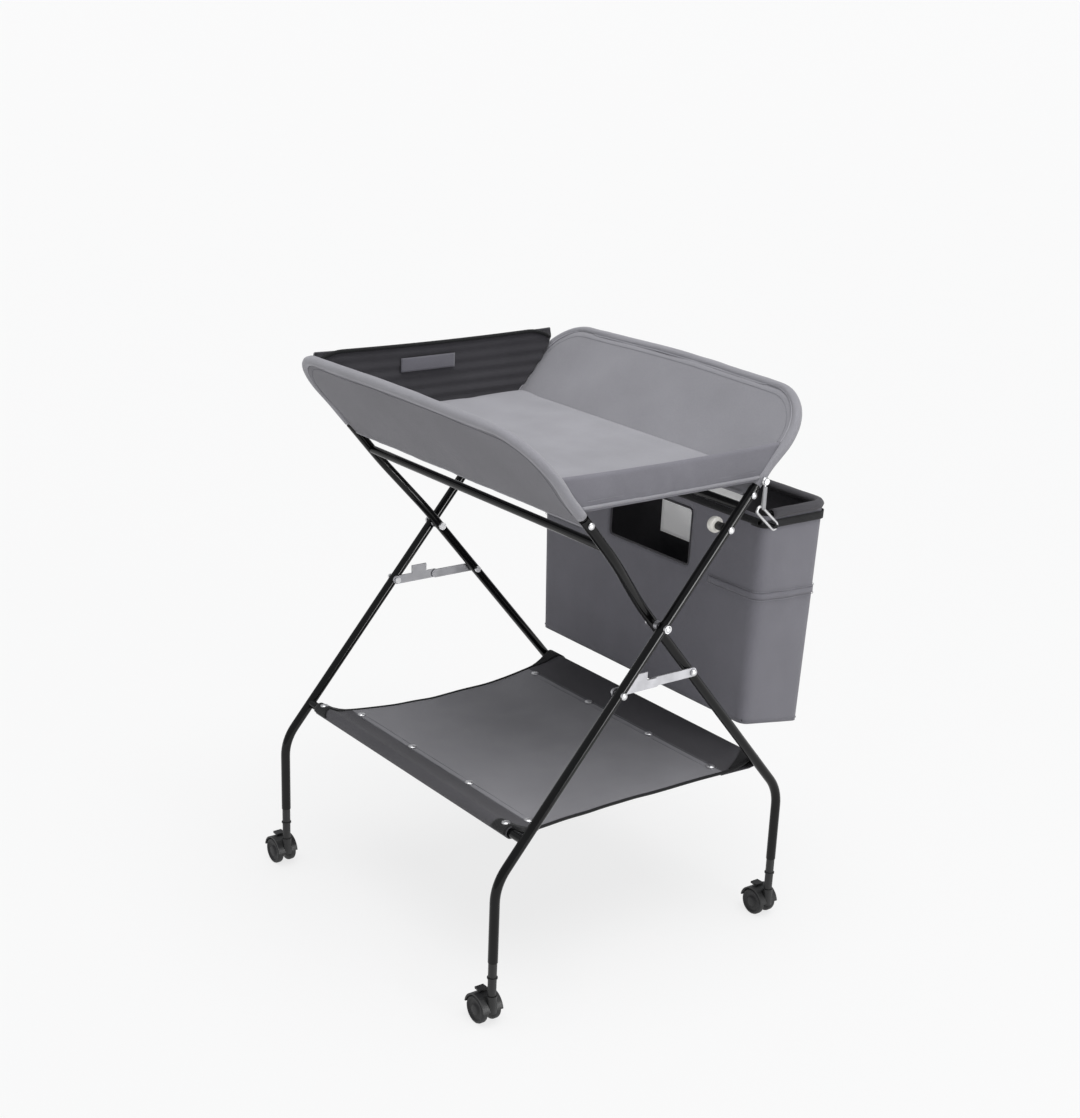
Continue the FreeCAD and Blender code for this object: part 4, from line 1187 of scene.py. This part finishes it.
# ---------------------------------------------------------------- hamper
def hamper_ring(z_share, inset=0.0):
    """One loop round the hamper at a share of its height, starting at the middle of the front."""
    low, high = box("hamper_bag")
    narrow = high[0] - 0.014
    half = narrow + (high[0] - narrow) * z_share - inset
    near, far = low[1] + inset, high[1] - 0.002 + 0.002 * z_share - inset
    floor_front, floor_back = low[2] + 0.022, low[2]
    radius = 0.014
    corners = [(0.0, near), (half, near), (half, far), (-half, far), (-half, near), (0.0, near)]
    loop = []
    for (ax, ay), (bx, by), count in zip(corners, corners[1:], (40, 20, 76, 20, 40)):
        loop.extend((ax + (bx - ax) * (i / count), ay + (by - ay) * (i / count)) for i in range(count))
    belly = math.sin(math.pi * min(1.0, z_share * 1.02))
    points = []
    for x, y in loop:
        if half - abs(x) < radius and min(y - near, far - y) < radius:
            cx = math.copysign(half - radius, x)
            cy = near + radius if y - near < far - y else far - radius
            arm = Vector((x - cx, y - cy)).normalized() * radius
            x, y = cx + arm.x, cy + arm.y
        base = floor_front + (floor_back - floor_front) * ((y - near) / (far - near))
        z = base + (high[2] - base) * z_share
        wrinkle = ripple(Vector((x * 1.2, y * 1.5, z)), 17.0, 0.0022) * (0.25 + belly)
        if abs(abs(x) - half) < 0.004:
            flat = 4 * max(0.0, (y - near) * (far - y)) / (far - near) ** 2
            outward = math.copysign(1, x)
            x += 0.004 * flat * belly * outward + wrinkle * flat * outward
        else:
            flat = 1 - (x / half) ** 2
            swell, outward = (1, 1) if y > (near + far) / 2 else (-0.55, -1)
            y += 0.006 * flat * belly * swell + wrinkle * flat * outward
        points.append(Vector((x, y, z)))
    return points


def tape_size(rows):
    """Width and length of a tape, measured along its rows."""
    return (rows[-1][0] - rows[0][0]).length, line_length(rows[0])


def hamper_bag():
    """The bag from its rim to its sloping floor, with the window cut out of its front."""
    low, high = box("hamper_bag")
    s = sizes()
    levels, front_y = 40, low[1]
    rings = [hamper_ring(i / levels) for i in range(levels + 1)]
    count = len(rings[0])
    for height in (s.window_sill, s.window_head):
        nearest = min(rings, key=lambda ring: abs(ring[0].z - height))
        for point in nearest:
            if point.y < front_y + 0.03:
                point.z = height
    for x in (s.window_left, s.window_right):
        column = min(range(count), key=lambda j: abs(rings[0][j].x - x) + (rings[0][j].y > front_y + 0.05))
        for ring in rings:
            ring[column].x = x

    def in_window(i, j):
        """Whether a face lies in the window."""
        centre = (rings[i][j] + rings[i + 1][(j + 1) % count]) / 2
        return (centre.y < front_y + 0.03 and s.window_left < centre.x < s.window_right
                and s.window_sill < centre.z < s.window_head)

    bag = grid_piece("hamper_bag_cloth", rings, "hamper_cloth", closed=True, skip=in_window)
    edit = bmesh.new()
    edit.from_mesh(bag.data)
    edit.verts.ensure_lookup_table()
    floor = edit.faces.new([edit.verts[j] for j in range(count)])
    floor.smooth = False
    bmesh.ops.triangulate(edit, faces=[floor])
    bmesh.ops.recalc_face_normals(edit, faces=edit.faces)
    edit.to_mesh(bag.data)
    edit.free()
    bag.data.materials.append(finish_of("lining_cloth"))
    thicken(bag, 0.0022, -1.0).material_offset = 1
    width, depth, height = 2 * high[0], high[1] - low[1], high[2] - low[2]
    seat(bag, "hamper", "dark_grey_fabric", "hamper_bag")


def hamper_seam():
    """The band sewn round the back and sides of the bag, with a row of stitches above and below it."""
    low, high = box("hamper_bag")
    seam_height, floor_rise, front_points = 0.600, 0.02, 24
    share = (seam_height - low[2] - floor_rise) / (high[2] - low[2] - floor_rise)

    def raised(inset, lifts):
        """Lines round the bag at several lifts."""
        belt = hamper_ring(share, inset)[front_points:-front_points]
        return [[p + Vector((0, 0, lift)) for p in belt] for lift in lifts]

    rows = raised(-0.0008, (-0.0054, -0.0018, 0.0018, 0.0054))
    band = grid_piece("hamper_seam_tape", rows, "hamper_cloth", 0.0014)
    tape_size(rows)
    seat(band, "hamper", "dark_grey_fabric")
    seams = raised(-0.0018, (-0.0072, 0.0072))
    seat(stitches("hamper_seam_stitches", seams), "hamper", "dark_grey_fabric")


def window_binding():
    """The round binding of the hamper's window."""
    low, high = box("hamper_bag")
    s = sizes()
    start = Vector(((s.window_left + s.window_right) / 2, low[1], s.window_sill))
    corners = [(s.window_right, s.window_sill), (s.window_right, s.window_head),
               (s.window_left, s.window_head), (s.window_left, s.window_sill)]
    outline = [start] + [Vector((x, low[1], z)) for x, z in corners] + [start]
    ring = rounded_path(outline, [0.006] * 4, 0.01)
    for point in ring:
        belly = math.sin(math.pi * (point.z - low[2]) / (high[2] - low[2]))
        point.y -= 0.0033 * (1 - (point.x / high[0]) ** 2) * belly - 0.0005
    binding = tube_piece("hamper_window_binding", ring, 0.0019, "lining_cloth", 10, Vector((0, 1, 0)))
    seat(binding, "hamper", "dark_grey_fabric")


def pale_panel():
    """The pale cloth hung inside the hamper's back."""
    low, high = box("hamper_back_panel")

    def place(u, v):
        """A point of the panel, slightly uneven."""
        across = 2 * u - 1
        uneven = ripple(Vector((across, v, 2.0)), 3.0, 0.0012)
        y = low[1] + (high[1] - low[1] - 0.002) * v
        return Vector((high[0] * across, y + 0.001 + uneven, low[2] + (high[2] - low[2]) * v))

    # Its cloth glows a little. This is painted light, not a lamp.
    panel = grid_piece("hamper_pale_panel", lattice(24, 20, place), "pale_cloth", 0.0016)
    seat(panel, "hamper", "pale_panel", "hamper_back_panel")


def hamper_rims():
    """Cloth rolled round the rim rods, and the black tape below the roll."""
    low, high = box("hamper_rim_rod")
    z, half, back = middle("hamper_rim_rod")[1], high[0] - ROD_RADIUS, high[1] - ROD_RADIUS
    corners = [Vector((-half, low[1], z)), Vector((-half, back, z)), Vector((half, back, z)),
               Vector((half, low[1], z))]
    path = rounded_path(corners, [0.021, 0.021])
    roll_radius = 0.0076

    def creased(index, angle):
        """Radius of the roll, with small creases."""
        return roll_radius + ripple(path[index] + Vector((0, angle, 0)), 30.0, 0.0008)

    rim = tube_piece("hamper_rim_cloth", path, creased, "lining_cloth", 18, capped=False)
    rolled(rim, path, roll_radius, "hamper_rim_rod")
    seat(rim, "hamper", "dark_grey_fabric")

    rod_low, rod_high = box("hamper_front_rod")
    bag_low, bag_high = box("hamper_bag")
    y, z = rod_high[1] - ROD_RADIUS, rod_low[2] + ROD_RADIUS
    reach, sleeve_radius = bag_high[0] - 0.010, 0.0062
    path = rounded_path([Vector((-reach, y, z)), Vector((reach, y, z))], [], 0.01)
    sleeve = tube_piece("hamper_front_rim_cloth", path, sleeve_radius, "binding_tape", 14, capped=False)
    rolled(sleeve, path, sleeve_radius, "hamper_front_rod")
    seat(sleeve, "hamper", "dark_grey_fabric")

    rows = []
    for height in (0.716, 0.7205, 0.725, 0.7295):
        share = (height - bag_low[2]) / (bag_high[2] - bag_low[2])
        rows.append(hamper_ring(share, -0.0022)[36:-36])
    tape = grid_piece("hamper_rim_tape", rows, "binding_tape", 0.0012)
    tape_size(rows)
    seat(tape, "hamper", "dark_grey_fabric")


def hanging_straps():
    """A short strap of webbing over the shank of each hanging link."""
    pin_y, pin_z = middle("link_pins")
    low, high = box("hanging_link_right")
    x, y, z = (low[0] + high[0]) / 2 + 0.0031, pin_y - 0.0016, pin_z - 0.0085
    threads = (-0.0036, -0.0012, 0.0012, 0.0036)
    for word, side in (("left", LEFT), ("right", RIGHT)):
        rows = [[Vector((side * x, y + across, z - 0.0036 * i)) for across in threads] for i in range(11)]
        seat(grid_piece(f"hanging_strap_{word}", rows, "strap_webbing", 0.0011), "hamper", "grey_fabric")


class TABLE_OT_hamper(bpy.types.Operator):
    """Makes the hamper's bag, its window, seam, rims and straps, and the pale panel inside"""

    bl_idname = "changing_table.hamper"
    bl_label = "Hamper"

    def execute(self, context):
        hamper_bag()
        hamper_seam()
        window_binding()
        pale_panel()
        hamper_rims()
        hanging_straps()
        return {"FINISHED"}


# ---------------------------------------------------------------- hardware
CAD_FINISHES = {
    "black_coat": ("outer_leg_left", "outer_leg_right", "inner_leg_left", "inner_leg_right",
                   "outer_upper_bar", "inner_upper_bar", "outer_shelf_bar", "inner_shelf_bar",
                   "outer_hoop", "inner_hoop", "hamper_front_rod", "hamper_rim_rod"),
    "bright_steel": ("outer_hoop_rivets", "inner_hoop_rivets", "pivot_bolts", "outer_brace_pins",
                     "inner_brace_pins", "knob_screws", "link_pins", "front_shelf_snaps", "back_shelf_snaps"),
    "zinc_plate": ("outer_brace_left", "outer_brace_right", "inner_brace_left", "inner_brace_right",
                   "pivot_spacers"),
    "zinc_wire": ("hanging_link_left", "hanging_link_right"),
    "cream_plastic": ("hamper_knobs",),
    "caster_plastic": ("outer_ferrules", "inner_ferrules"),
    "stiff_board": ("hamper_base_board",),
    "tray_cloth": ("front_wall", "back_wall", "front_rim_sleeve", "back_rim_sleeve", "tray_floor",
                   "low_end_panel", "high_end_panel", "end_label", "changing_pad", "shelf_sling",
                   "hamper_bag", "hamper_back_panel"),
}


class TABLE_OT_frame_finishes(bpy.types.Operator):
    """Paints the frame's own pieces with their finishes"""

    bl_idname = "changing_table.frame_finishes"
    bl_label = "Frame finishes"

    def execute(self, context):
        painted = {node: finish for finish, nodes in CAD_FINISHES.items() for node in nodes}
        for name, node in frame["nodes"].items():
            if name.startswith("caster"):
                part = name.rsplit("_", 1)[1]
                finish = {"axle": "bright_steel", "wheels": "wheel_tread"}.get(part, "caster_plastic")
            else:
                finish = painted[name]
            node.data.materials.clear()
            node.data.materials.append(finish_of(finish))
        return {"FINISHED"}


def end_spots(node, inset):
    """Both outer ends of a row of bolts, with the way each one faces."""
    y, z = middle(node)
    reach = box(node)[1][0] - inset
    return [((side * reach, y, z), (side, 0, 0)) for side in (LEFT, RIGHT)]


def rivet_heads():
    """Domed heads over every bolt and rivet of the frames."""
    extra = {OUTER: ("knob_screws", "pivot_bolts"), INNER: ()}
    for side, word in FRAME_WORD.items():
        spots = end_spots(f"{word}_hoop_rivets", 0.0004)
        for node in (f"{word}_brace_pins", *extra[side]):
            spots += end_spots(node, 0.0005)
        seat(caps(f"{word}_rivet_heads", spots, 0.0044, 0.45, 0.0014), FRAME_BODY[side], "bright_hardware")


def knobs():
    """Cream knobs with a rounded head, and the dark neck between head and leg."""
    head = [(0.0150, 0.0040), (0.0152, 0.0105), (0.0160, 0.0122), (0.0176, 0.0130), (0.0215, 0.0130),
            (0.0255, 0.0122), (0.0280, 0.0104), (0.0296, 0.0074), (0.0303, 0.0030)]
    neck = [(0.0, 0.0072), (0.0004, 0.0075), (0.0060, 0.0068), (0.0146, 0.0066), (0.0150, 0.0060)]
    reach = box("hamper_knobs")[1][0]
    for word, side, nodes in (("left", LEFT, ["hamper_knobs"]), ("right", RIGHT, [])):
        foot, axis = (side * reach, *middle("hamper_knobs")), (-side, 0, 0)
        seat(lathe_piece(f"knob_head_{word}", head, foot, axis, "cream_plastic"),
             "outer_frame", "cream_plastic", *nodes)
        seat(lathe_piece(f"knob_neck_{word}", neck, foot, axis, "caster_plastic"),
             "outer_frame", "cream_plastic")


class TABLE_OT_hardware(bpy.types.Operator):
    """Makes the rivet heads and the knobs"""

    bl_idname = "changing_table.hardware"
    bl_label = "Hardware"

    def execute(self, context):
        rivet_heads()
        knobs()
        return {"FINISHED"}


def caster_wheels(name, node, body):
    """Two turned wheels with a raised tread, a dished face and a hub."""
    low, high = box(node)
    centre = [(a + b) / 2 for a, b in zip(low, high)]
    radius, half = (high[2] - low[2]) / 2, (high[1] - low[1]) / 2
    inner = half - WHEEL_WIDTH
    face = half - 0.0026
    tread = [(inner, 0.0035), (inner, radius - 0.003), (inner + 0.0014, radius - 0.0008),
             (inner + 0.003, radius), (half - 0.003, radius), (half - 0.0012, radius - 0.0008)]
    lip = [(half, radius - 0.0032), (half - 0.0004, radius - 0.0048), (half - 0.0022, radius - 0.0056)]
    hub = [(face, radius * 0.62), (face, radius * 0.44), (half - 0.0006, radius * 0.40),
           (half + 0.0002, radius * 0.30), (half + 0.0004, 0.002)]
    parts = [lathe_piece(f"{name}_{side}", tread + lip + hub, centre, (0, side, 0), "wheel_tread", 48)
             for side in (LEFT, RIGHT)]
    bpy.ops.object.select_all(action="DESELECT")
    for part in parts:
        part.select_set(True)
    bpy.context.view_layer.objects.active = parts[0]
    bpy.ops.object.join()
    wheels = bpy.context.view_layer.objects.active
    wheels.name = name
    seat(wheels, body, "wheel_plastic", node)


class TABLE_OT_casters(bpy.types.Operator):
    """Makes the turned wheels of the four casters"""

    bl_idname = "changing_table.casters"
    bl_label = "Casters"

    def execute(self, context):
        for frame_word in ("outer", "inner"):
            for word in ("left", "right"):
                stem = f"caster_{frame_word}_{word}"
                caster_wheels(f"{stem}_turned_wheels", f"{stem}_wheels", f"{stem}_roller")
        return {"FINISHED"}


# ---------------------------------------------------------------- floor, light and camera
CAMERA_PLACE = Vector((2.3178, -1.7681, 1.5688))
CAMERA_TURN = (52.46, 21.34, 2.32)
CAMERA_LENS = 59.52
CAMERA_SHIFT = (-0.0009, 0.0966)
FLOOR_HALF = 400.0


def aimed(name, data, aim):
    """A lamp turned to shine along a direction."""
    lamp = linked(name, data)
    lamp.rotation_euler = aim.to_track_quat("-Z", "Y").to_euler()
    return lamp


def soft_light(name, place, target, size, power):
    """A square softbox at a place, turned to a target."""
    data = bpy.data.lights.new(name, "AREA")
    data.energy = power
    data.size = size
    lamp = aimed(name, data, Vector(target) - Vector(place))
    lamp.location = place
    return lamp


def studio_world():
    """Even light from all round, seen by the camera as a backdrop as pale as the floor."""
    world = bpy.data.worlds.new("studio")
    world.use_nodes = True
    nodes, links = world.node_tree.nodes, world.node_tree.links
    light = nodes["Background"]
    light.inputs["Color"].default_value = (0.97, 0.98, 1.0, 1)
    light.inputs["Strength"].default_value = 0.50
    backdrop = nodes.new("ShaderNodeBackground")
    backdrop.inputs["Color"].default_value = (1, 1, 1, 1)
    backdrop.inputs["Strength"].default_value = 0.945
    rays, mixed = nodes.new("ShaderNodeLightPath"), nodes.new("ShaderNodeMixShader")
    links.new(rays.outputs["Is Camera Ray"], mixed.inputs["Fac"])
    links.new(light.outputs["Background"], mixed.inputs[1])
    links.new(backdrop.outputs["Background"], mixed.inputs[2])
    links.new(mixed.outputs["Shader"], nodes["World Output"].inputs["Surface"])
    return world


def pale_floor():
    """A wide pale floor that glows a little, as a light table does."""
    finish = Finish("pale_floor", Roughness=0.8, Specular_IOR_Level=0.1, Emission_Strength=0.765,
                    Emission_Color=(1.0, 1.0, 1.0, 1.0))
    finish.base(finish.blend(finish.grain(3.0), shade(colours().floor, 0.98), colours().floor))
    size = FLOOR_HALF
    mesh = bpy.data.meshes.new("floor")
    corners = [(-size, -size, 0), (size, -size, 0), (size, size, 0), (-size, size, 0)]
    mesh.from_pydata(corners, [], [(0, 1, 2, 3)])
    mesh.materials.append(finish.material)
    linked("floor", mesh)


def lights():
    """A wide key light, a small edge light and a strip that shows only in the glossy tubes."""
    key = bpy.data.lights.new("wide_softbox", "SUN")
    key.energy = 2.5
    key.angle = math.radians(52)
    aimed("wide_softbox", key, Vector((-0.22, 0.06, -0.95)))
    soft_light("edge_softbox", (3.2, 0.4, 1.9), (0, 0, 0.6), 0.8, 15)
    strip = soft_light("tube_softbox", (3.1, 0.8, 0.62), (0, 0, 0.55), 1.1, 45)
    strip.visible_diffuse = False
    strip.visible_camera = False


def view_camera():
    """The camera, placed and turned by its azimuth, elevation and roll."""
    camera = bpy.data.cameras.new("camera")
    camera.sensor_width = 36.0
    camera.lens = CAMERA_LENS
    camera.shift_x, camera.shift_y = CAMERA_SHIFT
    camera.clip_end = 1200.0
    holder = linked("camera", camera)
    azimuth, elevation, roll = map(math.radians, CAMERA_TURN)
    ahead = Vector((-math.sin(azimuth) * math.cos(elevation), math.cos(azimuth) * math.cos(elevation),
                    -math.sin(elevation)))
    side = Vector((math.cos(azimuth), math.sin(azimuth), 0))
    top = side.cross(ahead)
    right = side * math.cos(roll) + top * math.sin(roll)
    up = top * math.cos(roll) - side * math.sin(roll)
    rows = [(right[i], up[i], -ahead[i], CAMERA_PLACE[i]) for i in range(3)]
    holder.matrix_world = Matrix(rows + [(0, 0, 0, 1)])
    return holder


class TABLE_OT_stage(bpy.types.Operator):
    """Makes the pale floor, the soft lights and the camera"""

    bl_idname = "changing_table.stage"
    bl_label = "Stage"

    def execute(self, context):
        pale_floor()
        context.scene.world = studio_world()
        lights()
        context.scene.camera = view_camera()
        context.scene.view_settings.view_transform = "Standard"
        return {"FINISHED"}


# ---------------------------------------------------------------- add-on
OPERATORS = (TABLE_OT_frame_finishes, TABLE_OT_tray_walls, TABLE_OT_tray_bed, TABLE_OT_shelf, TABLE_OT_hamper,
             TABLE_OT_hardware, TABLE_OT_casters, TABLE_OT_stage)


class TABLE_PT_panel(bpy.types.Panel):
    """Lists the sizes, the colours and the pieces"""

    bl_label = "Changing table"
    bl_idname = "TABLE_PT_panel"
    bl_space_type = "VIEW_3D"
    bl_region_type = "UI"
    bl_category = "Changing table"

    def draw(self, context):
        for group in (context.scene.table_sizes, context.scene.table_colours):
            column = self.layout.column(align=True)
            for name in group.__annotations__:
                column.prop(group, name)
        for operator in OPERATORS:
            self.layout.operator(operator.bl_idname)


CLASSES = (TableSizes, TableColours, *OPERATORS, TABLE_PT_panel)


def register():
    """Registers the classes and hangs the property groups on the scene."""
    for item in CLASSES:
        bpy.utils.register_class(item)
    bpy.types.Scene.table_sizes = bpy.props.PointerProperty(type=TableSizes)
    bpy.types.Scene.table_colours = bpy.props.PointerProperty(type=TableColours)


def unregister():
    """Takes the property groups and the classes away again."""
    del bpy.types.Scene.table_colours
    del bpy.types.Scene.table_sizes
    for item in reversed(CLASSES):
        bpy.utils.unregister_class(item)


def main():
    """Registers the add-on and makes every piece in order."""
    register()
    for operator in OPERATORS:
        group, name = operator.bl_idname.split(".")
        getattr(getattr(bpy.ops, group), name)()


if __name__ == "__main__":
    main()
